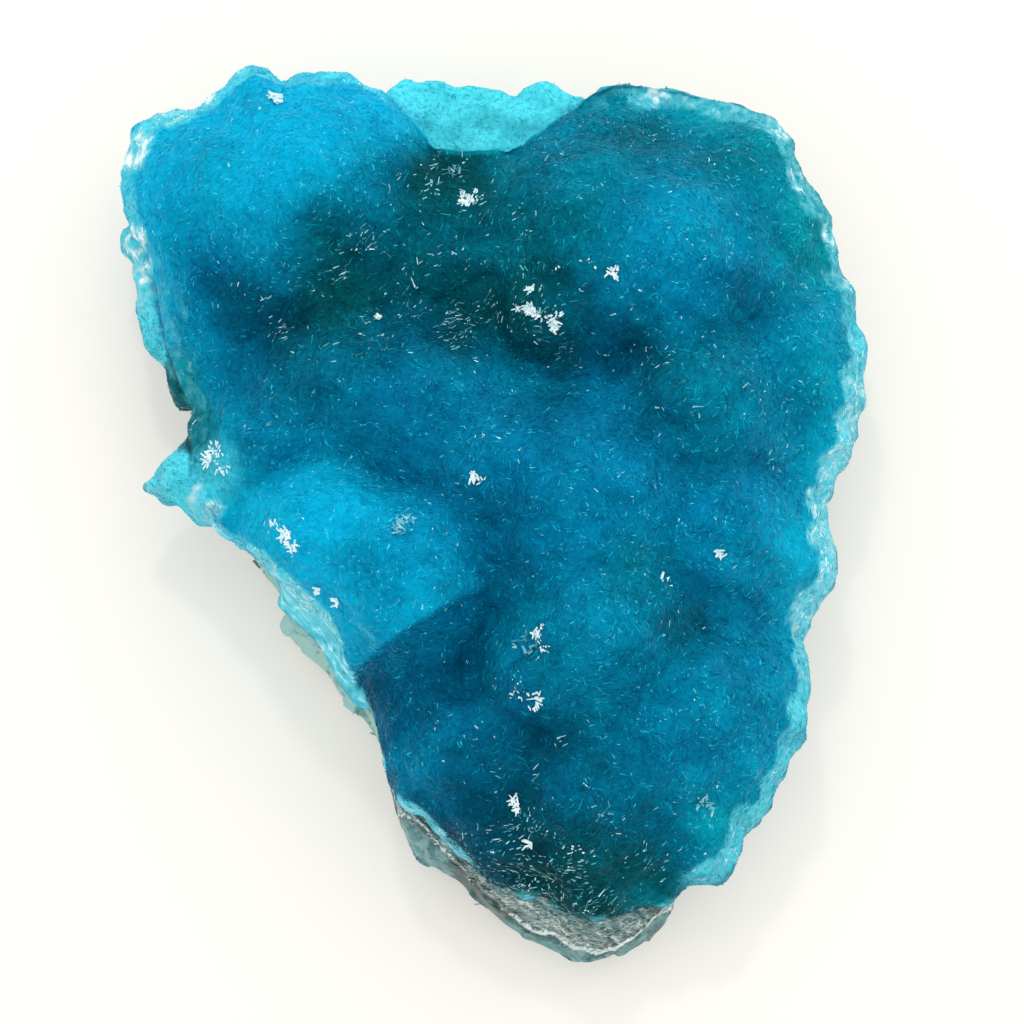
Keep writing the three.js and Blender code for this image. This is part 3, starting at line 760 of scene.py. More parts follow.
def blades(feet, facing, heading, tilt, length_mm, width, thickness):
    """Points and quads of one blade on each foot, and 1 at its far end. Tilt is up from the surface."""
    level = np.stack([np.cos(heading), np.sin(heading), np.zeros_like(heading)], 1)
    level -= facing * (level * facing).sum(1)[:, None]
    level /= np.linalg.norm(level, axis=1)[:, None]
    along = level * np.cos(tilt)[:, None] + facing * np.sin(tilt)[:, None]
    flat = np.cross(facing, level)
    upright = np.cross(along, flat)
    ring = np.array([(-1, -1), (1, -1), (1, 1), (-1, 1)])
    shape = np.concatenate([ring, ring * BLADE_END])
    reach = np.array([-0.5] * 4 + [0.5] * 4)
    points = feet[:, None] + along[:, None] * (length_mm[:, None] * reach)[..., None]
    points = points + flat[:, None] * (width[:, None] * shape[:, 0])[..., None]
    points = points + upright[:, None] * (thickness[:, None] * shape[:, 1])[..., None]
    box = np.array([(3, 2, 1, 0), (4, 5, 6, 7), (0, 1, 5, 4), (1, 2, 6, 5), (2, 3, 7, 6), (3, 0, 4, 7)])
    quads = box[None] + 8 * np.arange(len(feet))[:, None, None]
    tip = np.tile(np.array([0.0] * 4 + [1.0] * 4), len(feet))
    return points.reshape(-1, 3), quads.reshape(-1, 4), tip


# %% Comb the druse
def combed(points):
    """Heading: slow waves, with a share of going round the nearest summit, and straight out at the rim."""
    nearest = caps(points[:, 0], points[:, 1]).argmax(0)
    away = points[:, :2] - summits[nearest, :2]
    outward = smooth_step(rim_distance(points), 3.5, 1.5)
    turn = np.arctan2(away[:, 1], away[:, 0]) + math.pi / 2 * (1 - outward)
    return turn + 1.6 * waves(points, 6.0, 20) + 1.3 * waves(points, 1.4, 21)


def mostly_low(values, low, high):
    """Spreads chance numbers from 0 to 1 between low and high, with more of them near low."""
    return low + (high - low) * values**2


# %% The blades' ranges: angles in radians, sizes in mm, and shares of the blades
TILT = (0.02, 0.22)
GLINT_TILT = 0.08
LENGTH = (0.18, 0.8)
GLINT_LENGTH = (0.12, 0.8)
FLECK_LENGTH = (0.12, 0.4)
WIDTH = (0.02, 0.05)
GLINT_WIDTH = (0.025, 0.06)
THICKNESS_SHARE = (0.45, 0.8)
FLECK_PALE = (0.1, 0.8)
MOST_SPARKLE = 0.75
SPECKS = 0.03
FLECKS = 0.14
DARK_GLINTS = 0.5
WEATHERED_GLINTS = 0.3

# %% Every blade's place, size and tone
chance = np.random.default_rng(DRUSE_SEED)
feet, ways = surface_places(joined, BLADES, chance)
inside = rim_distance(feet)
heading = combed(feet) + 0.6 * waves(feet, 0.8, 24) + chance.normal(0, 0.5, BLADES)
tilt = chance.uniform(*TILT, BLADES)
blade_length = chance.gamma(4, 0.11, BLADES).clip(*LENGTH) * (0.6 + 0.4 * smooth_step(inside, 0, 1.5))
blade_width = chance.uniform(*WIDTH, BLADES)
tone = tone_at(feet)
tone[:, 0] += chance.gamma(2, 0.09, BLADES) - 0.19
tone[:, 3] += chance.normal(0, 0.3, BLADES) * tone[:, 2] * np.where(inside > 0, 1, 0.3)
tone[:, 2] += chance.normal(-0.15, 0.35, BLADES) * smooth_step(tone[:, 2], 0.2, 0.5)
dark = smooth_step(tone[:, 0], 0.45, 0.1) * smooth_step(tone[:, 1], 0.2, 0.5)
patchy = smooth_step(waves(feet, 3.0, 23), -0.4, 0.9)

# %% Glints are blades painted white: a flash of light in dark places, white flecks in weathered ones; specks are small glints anywhere, flecks short pale ones
speck = chance.random(BLADES) < SPECKS * smooth_step(waves(feet, 5.0, 25), -1.0, 1.0)
glint_share = DARK_GLINTS * dark * patchy + WEATHERED_GLINTS * by_line(feet, "weathered")
glint = speck | (chance.random(BLADES) < glint_share)
sparkle = mostly_low(chance.random(BLADES), 0.0, MOST_SPARKLE)
fleck = chance.random(BLADES) < FLECKS * smooth_step(tone[:, 0], 0.3, 0.7)
tone[:, 2] = np.where(fleck, chance.uniform(*FLECK_PALE, BLADES), tone[:, 2])
# the glints' white goes into the frost value: a painted flash in dark places
tone[:, 3] = np.where(glint, sparkle, tone[:, 3])
tilt = np.where(glint, tilt + GLINT_TILT, tilt)
slanting = 0.6 + 0.45 * waves(feet, 4.0, 22) + chance.normal(0, 0.3, BLADES)
heading = np.where(glint & (dark > 0.3), slanting, heading)
blade_length = np.where(glint, mostly_low(chance.random(BLADES), *GLINT_LENGTH), blade_length)
blade_length = np.where(speck | fleck, chance.uniform(*FLECK_LENGTH, BLADES), blade_length)
blade_width = np.where(glint, chance.uniform(*GLINT_WIDTH, BLADES), blade_width)
blade_thickness = blade_width * chance.uniform(*THICKNESS_SHARE, BLADES)
tone = tone.clip(0, 1)
print(f"{glint.sum()} glints and {fleck.sum()} flecks among {BLADES} blades")

# %% Grow the druse
druse = []
for part in range(PIECES):
    rows = slice(part, None, PIECES)
    points, quads, tip = blades(
        feet[rows], ways[rows], heading[rows], tilt[rows], blade_length[rows], blade_width[rows],
        blade_thickness[rows],
    )
    piece = make_piece(f"druse_{part + 1}", points, [quads], smooth=False)
    give_tone(piece.data, np.repeat(tone[rows], 8, 0), tip, np.zeros(len(points)))
    druse.append(piece)
print(f"{BLADES} blades in {PIECES} pieces of {len(quads) * 2} triangles")

# %% [markdown]
# ## Sprays of larger blades
# Here and there a group of blades grew larger, fans out and flashes white: the flash is a painted
# highlight, its blades coloured nearly white. Most sprays stand where the solid model has its larger
# blades. In each spray the blades start close together and lean outwards. A few soft sprays are only a
# little paler than the crust round them.

# %% The sprays: pixel of the middle, reach in mm and how crowded they are
SPRAYS = [
    (466, 202, 0.45, 26), (475, 199, 0.40, 20), (517, 311, 0.25, 9), (529, 313, 0.40, 18),
    (541, 318, 0.30, 12), (554, 321, 0.40, 16), (553, 330, 0.35, 10), (530, 292, 0.30, 6),
    (610, 278, 0.50, 9), (592, 270, 0.20, 4), (358, 248, 0.30, 7), (216, 452, 0.60, 12),
    (226, 466, 0.60, 9), (210, 462, 0.40, 6), (279, 527, 0.35, 9), (290, 535, 0.45, 14),
    (298, 545, 0.40, 8), (276, 97, 0.35, 7), (280, 103, 0.30, 6), (538, 628, 0.45, 9),
    (541, 640, 0.45, 8), (518, 672, 0.30, 6), (520, 688, 0.50, 8), (534, 694, 0.55, 9),
    (514, 793, 0.35, 7), (517, 801, 0.25, 5), (575, 842, 0.35, 7), (528, 838, 0.30, 5),
    (714, 552, 0.30, 6), (474, 477, 0.35, 9), (483, 482, 0.20, 3),
    (340, 600, 0.25, 5), (322, 589, 0.20, 4), (660, 577, 0.30, 4),
    (380, 318, 0.25, 4), (556, 268, 0.30, 4), (584, 268, 0.30, 4), (490, 440, 0.25, 4),
]
SOFT_SPRAYS = [
    (406, 526, 0.70, 14), (411, 520, 0.45, 8), (700, 800, 0.70, 10), (436, 190, 0.60, 8),
    (357, 246, 0.60, 8), (525, 640, 0.90, 10), (455, 175, 0.50, 5),
]
SPRAY_CROWD = 1.6
# The white sprays' whiteness is a painted flash; the soft sprays are only a little paler.
WHITE_FLASH = (0.7, 1.0)
SOFT_FROST = (0.15, 0.55)


def height_at(x, y):
    """Height of the main body over a place: from the rim up to the mamillae."""
    share, edge, _ = crust_rim.share(x, y)
    return edge[..., 2] + (crust_top(x, y) - edge[..., 2]) * rise_from_rim(share, body_power(edge))


def facing_at(x, y, step=0.1):
    """The way the main body faces: across its slopes along x and y."""
    slope_x = (height_at(x + step, y) - height_at(x - step, y)) / (2 * step)
    slope_y = (height_at(x, y + step) - height_at(x, y - step)) / (2 * step)
    way = np.stack([-slope_x, -slope_y, np.ones_like(x)], 1)
    return way / np.linalg.norm(way, axis=1)[:, None]


spray_feet, spray_heading, spray_frost_and_flash = [], [], []
for number, (across, down, reach, crowd) in enumerate(SPRAYS + SOFT_SPRAYS):
    count = round(crowd * SPRAY_CROWD)
    guess = from_photo([(across, down, 15)])[0]
    middle = from_photo([(across, down, height_at(guess[:1], guess[1:2])[0])])[0]
    turn = chance.uniform(0, FULL_TURN, count)
    away = reach * np.sqrt(chance.random(count))
    spray_feet.append(middle[:2] + np.stack([np.cos(turn), np.sin(turn)], 1) * away[:, None])
    spray_heading.append(turn + chance.normal(0, 0.6, count))
    frost_and_flash_range = WHITE_FLASH if number < len(SPRAYS) else SOFT_FROST
    spray_frost_and_flash.append(chance.uniform(*frost_and_flash_range, count))
place = np.concatenate(spray_feet)
count = len(place)
feet = np.column_stack([place, height_at(*place.T)])
points, quads, tip = blades(
    feet, facing_at(*place.T), np.concatenate(spray_heading), chance.uniform(0.1, 0.9, count),
    chance.uniform(0.25, 0.65, count), chance.uniform(0.05, 0.11, count), chance.uniform(0.05, 0.09, count),
)
tone = tone_at(feet)
# the frost value holds the sprays' whiteness, a painted flash on the white ones
tone[:, 3] = np.concatenate(spray_frost_and_flash)
sprays = make_piece("spray_blades", points, [quads], smooth=False)
give_tone(sprays.data, np.repeat(tone, 8, 0), tip, np.zeros(len(points)))
print(f"{len(SPRAYS)} white and {len(SOFT_SPRAYS)} soft sprays with {count} blades")

# %% [markdown]
# ## The slab of matrix
# The rock under the crust broke, so its sides are facets, not waves. Each facet is a grain: space is
# shared out between jittered lattice points, and all the surface nearest to one of them is tilted as one
# plane. Two sizes of grain, and a profile with a proud pale vein and a worn layer above it, give the
# section that shows along the lower left and at the tip. There the layers follow the slope that the
# photograph shows. On the other sides, which it doesn't show, they are level and go by height.


# %% Grains and facets
HASH = np.array([73856093, 19349663, 83492791])
GRAINS = 4096
FACET_TILT = 0.6


def grains(points, size, seed):
    """For each point, the nearest lattice point's number and the way from it, in units of size."""
    chance = np.random.default_rng(seed)
    jitter = chance.random((GRAINS, 3))
    cell = np.floor(points / size).astype(np.int64)
    nearest = np.full(len(points), np.inf)
    number = np.zeros(len(points), np.int64)
    way = np.zeros_like(points)
    for offset in itertools.product((-1, 0, 1), repeat=3):
        there = cell + offset
        key = (there @ HASH) % GRAINS
        to_point = points / size - there - jitter[key]
        distance = (to_point**2).sum(1)
        closer = distance < nearest
        nearest = np.where(closer, distance, nearest)
        number = np.where(closer, key, number)
        way = np.where(closer[:, None], to_point, way)
    return number, way


def facets(points, size, seed):
    """Noise made of tilted planes: each grain has its own tilt and its own step in or out."""
    number, way = grains(points, size, seed)
    chance = np.random.default_rng(seed + 1)
    tilts = chance.normal(size=(GRAINS, 3))
    steps = chance.uniform(-0.5, 0.5, GRAINS)
    return (tilts[number] * way).sum(1) * FACET_TILT + steps[number]


# %% The section: pixel across, and the share of the section above the vein there
slab_rim = Rim(SLAB_RIM, CRUST_HEART)
VEIN = np.array([
    (395, 0.02), (440, 0.06), (462, 0.20), (489, 0.38), (511, 0.52), (533, 0.66), (559, 0.64), (581, 0.70),
    (605, 0.74), (640, 0.68), (680, 0.5),
])
STAIN = from_photo([(461, 868, 4), (508, 908, 3.5)])
FLANK_HEIGHTS = (0.0, 3.25, 3.55, 4.9)
FLANK_SECTIONS = (0.95, 0.55, 0.45, 0.15)
UNSEEN_Y = (-3.5, -1.5)
UNSEEN_X = (12.5, 14)
FACET_REACH = (2.0, 4.5)
FACET_SECTION = -0.1


def pale_facet(points):
    """1 on the upper half of the pale facet that juts out at the break, 0 elsewhere."""
    return along_line(points, FLARE, *FACET_REACH) * smooth_step(points[:, 2], 1.0, 2.0)


def section_at(points):
    """How far down the section a point lies: 0 at the crust's rim, 0.5 on the vein, 1 at the slab's rim."""
    _, _, reach = crust_rim.share(points[:, 0], points[:, 1])
    _, _, slab_reach = slab_rim.share(points[:, 0], points[:, 1])
    away = np.hypot(*(points[:, :2] - slab_rim.middle[:2]).T)
    section = (away - reach) / np.maximum(slab_reach - reach, 0.8)
    vein = np.interp(points[:, 0] / mm_per_pixel + PHOTO_MIDDLE[0], *VEIN.T)
    vein = vein + (0.5 - vein) * smooth_step(points[:, 1], -15, -12)
    section += 0.05 * waves(points, 4.0, 40) + 0.03 * waves(points, 1.1, 41)
    section = np.where(section < vein, 0.5 * section / vein, 1 - 0.5 * (1 - section) / (1 - vein))
    level = points[:, 2] + 0.4 * waves(points, 5.0, 42) + 0.15 * waves(points, 1.2, 43)
    by_height = np.interp(level, FLANK_HEIGHTS, FLANK_SECTIONS)
    unseen = np.maximum(smooth_step(points[:, 1], *UNSEEN_Y), smooth_step(points[:, 0], *UNSEEN_X))
    flank = np.maximum(unseen, smooth_step(section, 0.0, -0.12))
    section = section + (by_height - section) * flank
    return section + (FACET_SECTION - section) * pale_facet(points)


# %% The slab
SLAB_POWER = 14.0
SLAB_TUCK = 0.05
COARSE_CHIP = 0.42
FINE_CHIP = 0.10
CHIPPED_IN = 0.2
VEIN_HEIGHT = 3.4
VEIN_HALF = 0.28
VEIN_PROUD = 0.25
LAYER_SET_BACK = 0.3
SLAB_WEAR = 0.75
LOWEST_TOP = 2.0
RIDGE_HALF = 0.07
RIDGE_HEIGHT = 0.25
SLOPE_CHIP = 0.18
slab_points, slab_groups = lump(
    slab_rim, lambda x, y: np.full(x.shape, slab_top + 0.15), 0.0, always(SLAB_POWER), always(SLAB_TUCK),
    cells=170, rings=22,
)
share, _, _ = slab_rim.share(slab_points[:, 0], slab_points[:, 1])
outward = slab_points - slab_rim.middle
outward[:, 2] = 0
outward /= np.maximum(np.linalg.norm(outward, axis=1), 1e-6)[:, None]
side = smooth_step(share, 0.86, 0.97)
level = slab_points[:, 2]
chipped = COARSE_CHIP * facets(slab_points, 3.0, 30) + FINE_CHIP * facets(slab_points, 1.1, 31)
chipped += VEIN_PROUD * np.exp(-(((level - VEIN_HEIGHT) / VEIN_HALF) ** 2))
chipped -= LAYER_SET_BACK * smooth_step(level, VEIN_HEIGHT + 0.3, VEIN_HEIGHT + 0.8)
slab_points = slab_points + outward * ((chipped - CHIPPED_IN) * side)[:, None]
beyond = -rim_distance(slab_points)
worn_top = slab_top + 0.1 - SLAB_WEAR * np.maximum(beyond, 0)
slab_points[:, 2] = np.minimum(slab_points[:, 2], np.maximum(worn_top, LOWEST_TOP))
section = section_at(slab_points)
ridge = np.exp(-(((section - 0.5) / RIDGE_HALF) ** 2))
off_base = smooth_step(slab_points[:, 2], 0.1, 1.2)
slab_points[:, 2] += RIDGE_HEIGHT * (ridge - smooth_step(section, 0.5, 0.6)) * off_base
slope_chips = SLOPE_CHIP * facets(slab_points, 1.3, 32)
slab_points[:, 2] += slope_chips * smooth_step(beyond, -0.2, 0.4) * off_base
slab = make_piece("matrix_rock", slab_points, slab_groups, smooth=False)
stain = along_line(slab_points, STAIN, 0.35, 0.9)
facet = smooth_step(pale_facet(slab_points), 0.05, 0.3)
add_values(slab.data, section=section, stain=stain, facet=facet)
print(f"the slab has {len(slab.data.polygons)} faces")

# %% [markdown]
# The section is not smooth between its facets: it is made of thin splinters that lie along the layers.
# They are the same small blades again, sown over the worn slope under the crust's edge, with a number each
# that makes some of them paler and some darker.

# %% Splinters on the section
SPLINTERS = 6000
triangle, cross, size = read_triangles(slab.data)
middle = triangle.mean(1)
shown = (cross[:, 2] > 0.5 * size) & (rim_distance(middle) < 0.2) & (middle[:, 2] > 0.8)
layered = smooth_step(section_at(middle), 0.46, 0.40) + 0.05
share = size * shown * layered * (1 - along_line(middle, FLARE, *FACET_REACH))
chosen = chance.choice(len(size), SPLINTERS, p=share / share.sum())
a, b, c = triangle[chosen].transpose(1, 0, 2)
u, v = chance.random((2, SPLINTERS, 1))
feet = a + (b - a) * u * (1 - v) + (c - a) * v
away = feet - slab_rim.middle
heading = np.arctan2(away[:, 1], away[:, 0]) + math.pi / 2 + chance.normal(0, 0.35, SPLINTERS)
points, quads, _ = blades(
    feet, cross[chosen] / size[chosen, None], heading, chance.uniform(0.0, 0.2, SPLINTERS),
    mostly_low(chance.random(SPLINTERS), 0.15, 1.0), chance.uniform(0.02, 0.07, SPLINTERS),
    chance.uniform(0.02, 0.05, SPLINTERS),
)
splinters = make_piece("matrix_splinters", points, [quads], smooth=False)
kinds = np.clip(0.5 + 0.25 * waves(feet, 1.4, 50) + chance.normal(0, 0.22, SPLINTERS), 0.01, 1)
add_values(splinters.data, kind=np.repeat(kinds, 8), section=np.repeat(section_at(feet), 8))
print(f"{SPLINTERS} splinters")

# %% [markdown]
# ## Finishes
# Light scattered inside the crust would be slow to work out, so the glow of its thin places is in the
# tone that each vertex carries. Its colour is nearly pure blue and green, with almost no red, so any white
# gloss on it would show as grey: the gloss is low, and the white flashes are pale blades. The body and the
# blades share one recipe. Ramps turn glow into colour, one for the blue parts and one for the green, and
# fine noise breaks up what would otherwise be plain gradients. Only the body has the bare side's streaks.


# %% Formulas as node trees
class Field:
    """A number or colour that varies over a material. Numbers add and multiply like plain ones."""

    def __init__(self, tree, socket):
        self.tree = tree
        self.socket = socket

    def maths(self, operation, other, clamp=False):
        """One Math node on this field and another field or number."""
        node = self.tree.nodes.new("ShaderNodeMath")
        node.operation = operation
        node.use_clamp = clamp
        feed(self.tree, node.inputs[0], self)
        feed(self.tree, node.inputs[1], other)
        return Field(self.tree, node.outputs["Value"])

    def clip(self):
        """The field kept between 0 and 1."""
        return self.maths("ADD", 0, clamp=True)

    def __add__(self, other):
        return self.maths("ADD", other)

    def __mul__(self, other):
        return self.maths("MULTIPLY", other)

    def __sub__(self, number):
        return self + -number

    def __rsub__(self, number):
        return self * -1 + number

    __radd__ = __add__
    __rmul__ = __mul__


# %% Small helpers for node trees
def feed(tree, socket, value):
    """Gives a socket a field, a colour or a number."""
    if isinstance(value, Field):
        tree.links.new(value.socket, socket)
    elif isinstance(value, tuple):
        socket.default_value = (*value, 1)
    else:
        socket.default_value = value


def new_material(name):
    """A material, its node tree and its shader, which is already joined to the output."""
    material = bpy.data.materials.new(name)
    material.use_nodes = True
    tree = material.node_tree
    tree.nodes.clear()
    shader = tree.nodes.new("ShaderNodeBsdfPrincipled")
    output = tree.nodes.new("ShaderNodeOutputMaterial")
    tree.links.new(shader.outputs["BSDF"], output.inputs["Surface"])
    return material, tree, shader


def ramp(field, stops):
    """A colour ramp: stops are (position, linear red, green, blue)."""
    node = field.tree.nodes.new("ShaderNodeValToRGB")
    elements = node.color_ramp.elements
    while len(elements) < len(stops):
        elements.new(0.5)
    for element, (position, *colour) in zip(elements, stops):
        element.position = position
        element.color = (*colour, 1)
    feed(field.tree, node.inputs["Fac"], field)
    return Field(field.tree, node.outputs["Color"])


def mix(share, first, second):
    """The first colour where share is 0, the second where it is 1."""
    node = share.tree.nodes.new("ShaderNodeMix")
    node.data_type = "RGBA"
    for name, value in (("Factor_Float", share), ("A_Color", first), ("B_Color", second)):
        feed(share.tree, next(s for s in node.inputs if s.identifier == name), value)
    return Field(share.tree, next(s for s in node.outputs if s.identifier == "Result_Color"))


def noise(tree, scale, detail, stretch=None, turn=0.0, distortion=0.0):
    """Noise on the object's own coordinates, in metres; stretch squeezes it, along axes turned by turn."""
    place = tree.nodes.new("ShaderNodeTexCoord").outputs["Object"]
    if stretch:
        mapping = tree.nodes.new("ShaderNodeMapping")
        mapping.vector_type = "TEXTURE"
        mapping.inputs["Rotation"].default_value = (0, 0, turn)
        mapping.inputs["Scale"].default_value = stretch
        tree.links.new(place, mapping.inputs["Vector"])
        place = mapping.outputs["Vector"]
    node = tree.nodes.new("ShaderNodeTexNoise")
    for name, value in (("Scale", scale), ("Detail", detail), ("Distortion", distortion)):
        node.inputs[name].default_value = value
    tree.links.new(place, node.inputs["Vector"])
    return Field(tree, node.outputs["Fac"])


def attribute(tree, name, output="Fac"):
    """What the mesh carries under a name."""
    node = tree.nodes.new("ShaderNodeAttribute")
    node.attribute_name = name
    return Field(tree, node.outputs[output])


def add_bump(tree, shader, height, strength, distance):
    """Tilts the shader's surface as if a height field of that depth in metres lay on it."""
    bump = tree.nodes.new("ShaderNodeBump")
    bump.inputs["Strength"].default_value = strength
    bump.inputs["Distance"].default_value = distance
    feed(tree, bump.inputs["Height"], height)
    tree.links.new(bump.outputs["Normal"], shader.inputs["Normal"])


# %% The crust's finish
BLUE_STOPS = [
    (0.0, 0.001, 0.038, 0.078), (0.3, 0.001, 0.093, 0.185), (0.55, 0.001, 0.176, 0.330),
    (0.8, 0.0015, 0.290, 0.480), (1.0, 0.002, 0.400, 0.640),
]
GREEN_STOPS = [
    (0.0, 0.001, 0.032, 0.036), (0.3, 0.001, 0.085, 0.105), (0.55, 0.001, 0.176, 0.235),
    (0.8, 0.0015, 0.290, 0.355), (1.0, 0.004, 0.410, 0.480),
]
PALE_COLOUR = (0.09, 0.72, 0.83)
# Frost on weathered places, and the painted white flash of glinting blades and white sprays
FROST_AND_FLASH_STOPS = [
    (0.0, 0.08, 0.46, 0.55), (0.45, 0.24, 0.60, 0.67), (0.75, 0.62, 0.85, 0.88), (1.0, 0.97, 0.99, 0.99),
]
BARE_STOPS = [
    (0.31, 0.05, 0.16, 0.17), (0.36, 0.08, 0.50, 0.61), (0.52, 0.12, 0.66, 0.79), (0.60, 0.32, 0.80, 0.90),
    (0.70, 0.82, 0.94, 0.95),
]
BREAK_TURN = math.atan2(BREAK[1, 1] - BREAK[0, 1], BREAK[1, 0] - BREAK[0, 0])


def crust_finish(name, bare_side):
    """Blue to bottle green, pale at thin edges, frosted on weathered places and painted white where blades
    flash, streaked where it broke.
    """
    material, tree, shader = new_material(name)
    parts = tree.nodes.new("ShaderNodeSeparateXYZ")
    feed(tree, parts.inputs["Vector"], attribute(tree, "tone", "Vector"))
    glow, green, pale = [Field(tree, part) for part in parts.outputs]
    frost = attribute(tree, "frost")
    cloud = noise(tree, 420, 2)
    grain = noise(tree, 3000, 3)
    lit = (glow + 0.16 * cloud + 0.3 * grain + 0.12 * attribute(tree, "tip") - 0.23).clip()
    colour = mix(green, ramp(lit, BLUE_STOPS), ramp(lit, GREEN_STOPS))
    # pale: painted light through the thin rim and shelves, and the paler patches and bare edge
    colour = mix((pale * (1.6 * grain + 0.1)).clip(), colour, PALE_COLOUR)
    # frost, and the painted flash of glints and white sprays
    colour = mix((frost * (grain + 1.3)).clip(), colour, ramp(frost, FROST_AND_FLASH_STOPS))
    if bare_side:
        streaks = noise(tree, 1500, 5, stretch=(1.7, 1, 1), turn=BREAK_TURN + 0.2, distortion=0.5)
        colour = mix(attribute(tree, "face"), colour, ramp(streaks, BARE_STOPS))
        add_bump(tree, shader, streaks, strength=0.3, distance=0.0001)
    feed(tree, shader.inputs["Base Color"], colour)
    feed(tree, shader.inputs["Roughness"], 0.3 * cloud + 0.28)
    shader.inputs["Specular IOR Level"].default_value = 0.05
    shader.inputs["Specular Tint"].default_value = (0.02, 0.5, 1.0, 1)
    return material


# %% The rock's finish: layers down the section, and the colours that break them up
LAYER_STOPS = [
    (0.0, 0.28, 0.52, 0.50), (0.09, 0.32, 0.56, 0.55), (0.14, 0.20, 0.34, 0.34),
    (0.36, 0.28, 0.38, 0.35), (0.455, 0.20, 0.29, 0.28), (0.475, 0.85, 0.95, 0.90),
    (0.54, 0.65, 0.80, 0.77), (0.555, 0.06, 0.12, 0.12), (0.66, 0.09, 0.23, 0.235),
    (0.84, 0.115, 0.30, 0.315), (1.0, 0.05, 0.15, 0.155),
]
RUST_STOPS = [(0.42, 0.045, 0.05, 0.04), (0.55, 0.08, 0.075, 0.06), (0.66, 0.20, 0.12, 0.07)]
WHITE_STREAK = (0.74, 0.80, 0.75)
DARK_GAP = (0.05, 0.09, 0.09)
GLASSY_PATCH = (0.36, 0.52, 0.50)
MURKY_PATCH = (0.04, 0.10, 0.10)
PALE_FACET = (0.30, 0.54, 0.50)
PALE_SPLINTER = (0.78, 0.82, 0.76)
DARK_SPLINTER = (0.04, 0.06, 0.06)


def rock_finish():
    """Streaked grey and beige above, a white vein, and glassy grey-teal with murky patches below."""
    material, tree, shader = new_material("broken_matrix")
    warp = 0.1 * noise(tree, 700, 4) - 0.05
    depth = (0.8 * (attribute(tree, "section") + warp) + 0.1).clip()
    streaks = noise(tree, 3600, 4, stretch=(4, 1, 1), turn=BREAK_TURN * 0.75, distortion=0.6)
    patches = noise(tree, 1100, 4)
    upper = (6.2 - 12 * depth).clip() * (16 * depth - 1.6).clip()
    lower = 1 - upper
    spread = 0.75 * upper + 0.25
    murky = (4.1 - 9 * patches).clip() * lower * 0.7
    kind = attribute(tree, "kind")
    has_kind = kind.maths("GREATER_THAN", 0.001)
    colour = ramp(depth, LAYER_STOPS)
    for share, other in (
        ((9 * streaks - 4.9).clip() * spread, WHITE_STREAK),
        ((3.9 - 9 * streaks).clip() * spread, DARK_GAP),
        ((9 * patches - 4.9).clip() * lower * 0.5, GLASSY_PATCH),
        (murky, MURKY_PATCH),
        (attribute(tree, "stain") * 0.7, ramp(patches, RUST_STOPS)),
        (attribute(tree, "facet") * (1 - murky), PALE_FACET),
        ((8 * kind - 6.6).clip() * 0.75, PALE_SPLINTER),
        ((1.8 - 12 * kind).clip() * has_kind * 0.7, DARK_SPLINTER),
    ):
        colour = mix(share, colour, other)
    feed(tree, shader.inputs["Base Color"], colour)
    feed(tree, shader.inputs["Roughness"], 0.4 * patches + 0.3)
    add_bump(tree, shader, patches, strength=0.5, distance=0.0002)
    shader.inputs["Specular IOR Level"].default_value = 0.3
    return material


# %% Dress the pieces
blade_material = crust_finish("hemimorphite_blades", bare_side=False)
body.data.materials.clear()
body.data.materials.append(crust_finish("grown_hemimorphite", bare_side=True))
for piece in (sprays, *druse):
    piece.data.materials.append(blade_material)
for piece in (body, sprays, *druse):
    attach(piece, "root")
    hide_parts("hemimorphite_crust")
rock_material = rock_finish()
for piece in (slab, splinters):
    piece.data.materials.append(rock_material)
    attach(piece, "root")
    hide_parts("matrix_slab")

# %% [markdown]
# ## The studio
# The photograph shows the stone on a white table in soft window light that comes from the top of the
# picture and a little from the right. A bright even world gives the white table, one large area light
# gives the direction, and a small bright one makes single blades flash.


# %% Floor, lights and world
def floor_finish():
    """A plain near-white table with the faintest unevenness."""
    material, tree, shader = new_material("white_table")
    colour = mix(0.03 * noise(tree, 30, 2), (0.61, 0.59, 0.55), (0.58, 0.56, 0.52))
    feed(tree, shader.inputs["Base Color"], colour)
    shader.inputs["Roughness"].default_value = 0.8
    shader.inputs["Specular IOR Level"].default_value = 0.1
    shader.inputs["Emission Color"].default_value = (1.0, 0.95, 0.89, 1)
    shader.inputs["Emission Strength"].default_value = 0.35
    return material


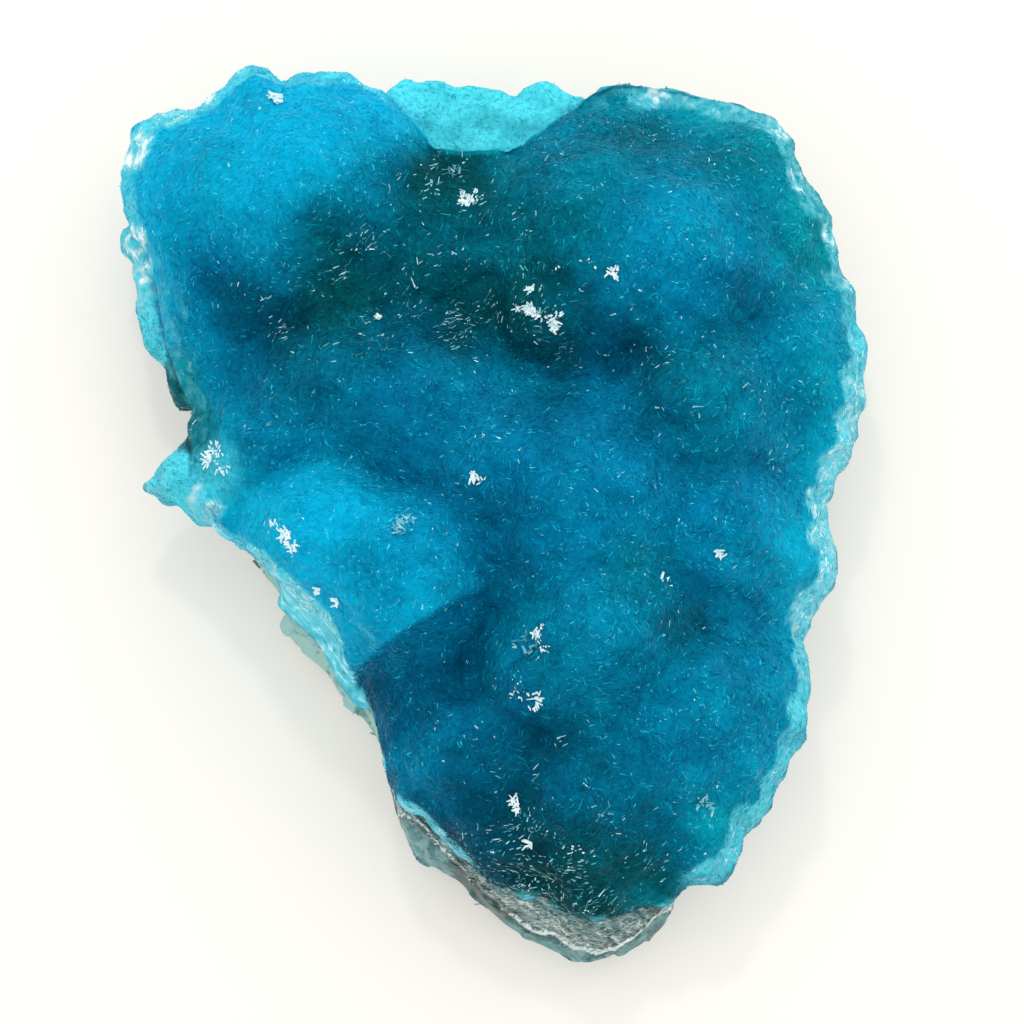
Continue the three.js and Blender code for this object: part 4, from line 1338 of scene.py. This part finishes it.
FLOOR_HALF = 3.0
floor_corners = [(FLOOR_HALF * x, FLOOR_HALF * y, 0) for x, y in ((-1, -1), (1, -1), (1, 1), (-1, 1))]
floor_mesh = bpy.data.meshes.new("table_top")
floor_mesh.from_pydata(floor_corners, [], [(0, 1, 2, 3)])
floor = bpy.data.objects.new("table_top", floor_mesh)
bpy.context.collection.objects.link(floor)
floor_mesh.materials.append(floor_finish())


def area_light(name, place, size, power, colour):
    """A square area light that looks at the stone."""
    lamp = bpy.data.lights.new(name, "AREA")
    lamp.size = size
    lamp.energy = power
    lamp.color = colour
    holder = bpy.data.objects.new(name, lamp)
    bpy.context.collection.objects.link(holder)
    holder.location = place
    aim = Vector(place)
    holder.rotation_mode = "QUATERNION"
    holder.rotation_quaternion = aim.to_track_quat("Z", "Y")


area_light("window", (0.18, 0.42, 0.50), 0.8, 1.55, (1.0, 0.99, 0.97))
area_light("glint", (-0.05, 0.28, 0.42), 0.04, 0.3, (1.0, 1.0, 1.0))
world = bpy.data.worlds.new("studio")
world.use_nodes = True
backdrop = world.node_tree.nodes["Background"]
backdrop.inputs["Color"].default_value = (0.97, 0.985, 1.0, 1)
backdrop.inputs["Strength"].default_value = 1.0
bpy.context.scene.world = world
bpy.context.scene.view_settings.view_transform = "Standard"

# %% [markdown]
# ## The camera
# The camera looks down at eighty degrees. A long lens from some forty centimetres keeps the outline as
# flat as the photograph has it. Its width of view follows from the scale: the picture is 1024 pixels
# wide, and each is so many millimetres of the plane where the crust starts.

# %% Place the camera
DISTANCE = 420.0
SENSOR = 36.0
view_width = PHOTO_SIZE * mm_per_pixel
aim = from_photo([(PHOTO_SIZE / 2, PHOTO_SIZE / 2, slab_top)])[0]
back = np.array([0, -math.sin(VIEW_LEAN), math.cos(VIEW_LEAN)])
lens = bpy.data.cameras.new("camera")
lens.sensor_width = SENSOR
lens.lens = SENSOR * DISTANCE / view_width
lens.clip_start = 0.01
camera = bpy.data.objects.new("camera", lens)
bpy.context.collection.objects.link(camera)
camera.location = (aim + back * DISTANCE) * MM
camera.rotation_euler = (VIEW_LEAN, 0, 0)
bpy.context.scene.camera = camera
print(f"the view is {view_width:.1f} mm wide through a {lens.lens:.0f} mm lens")
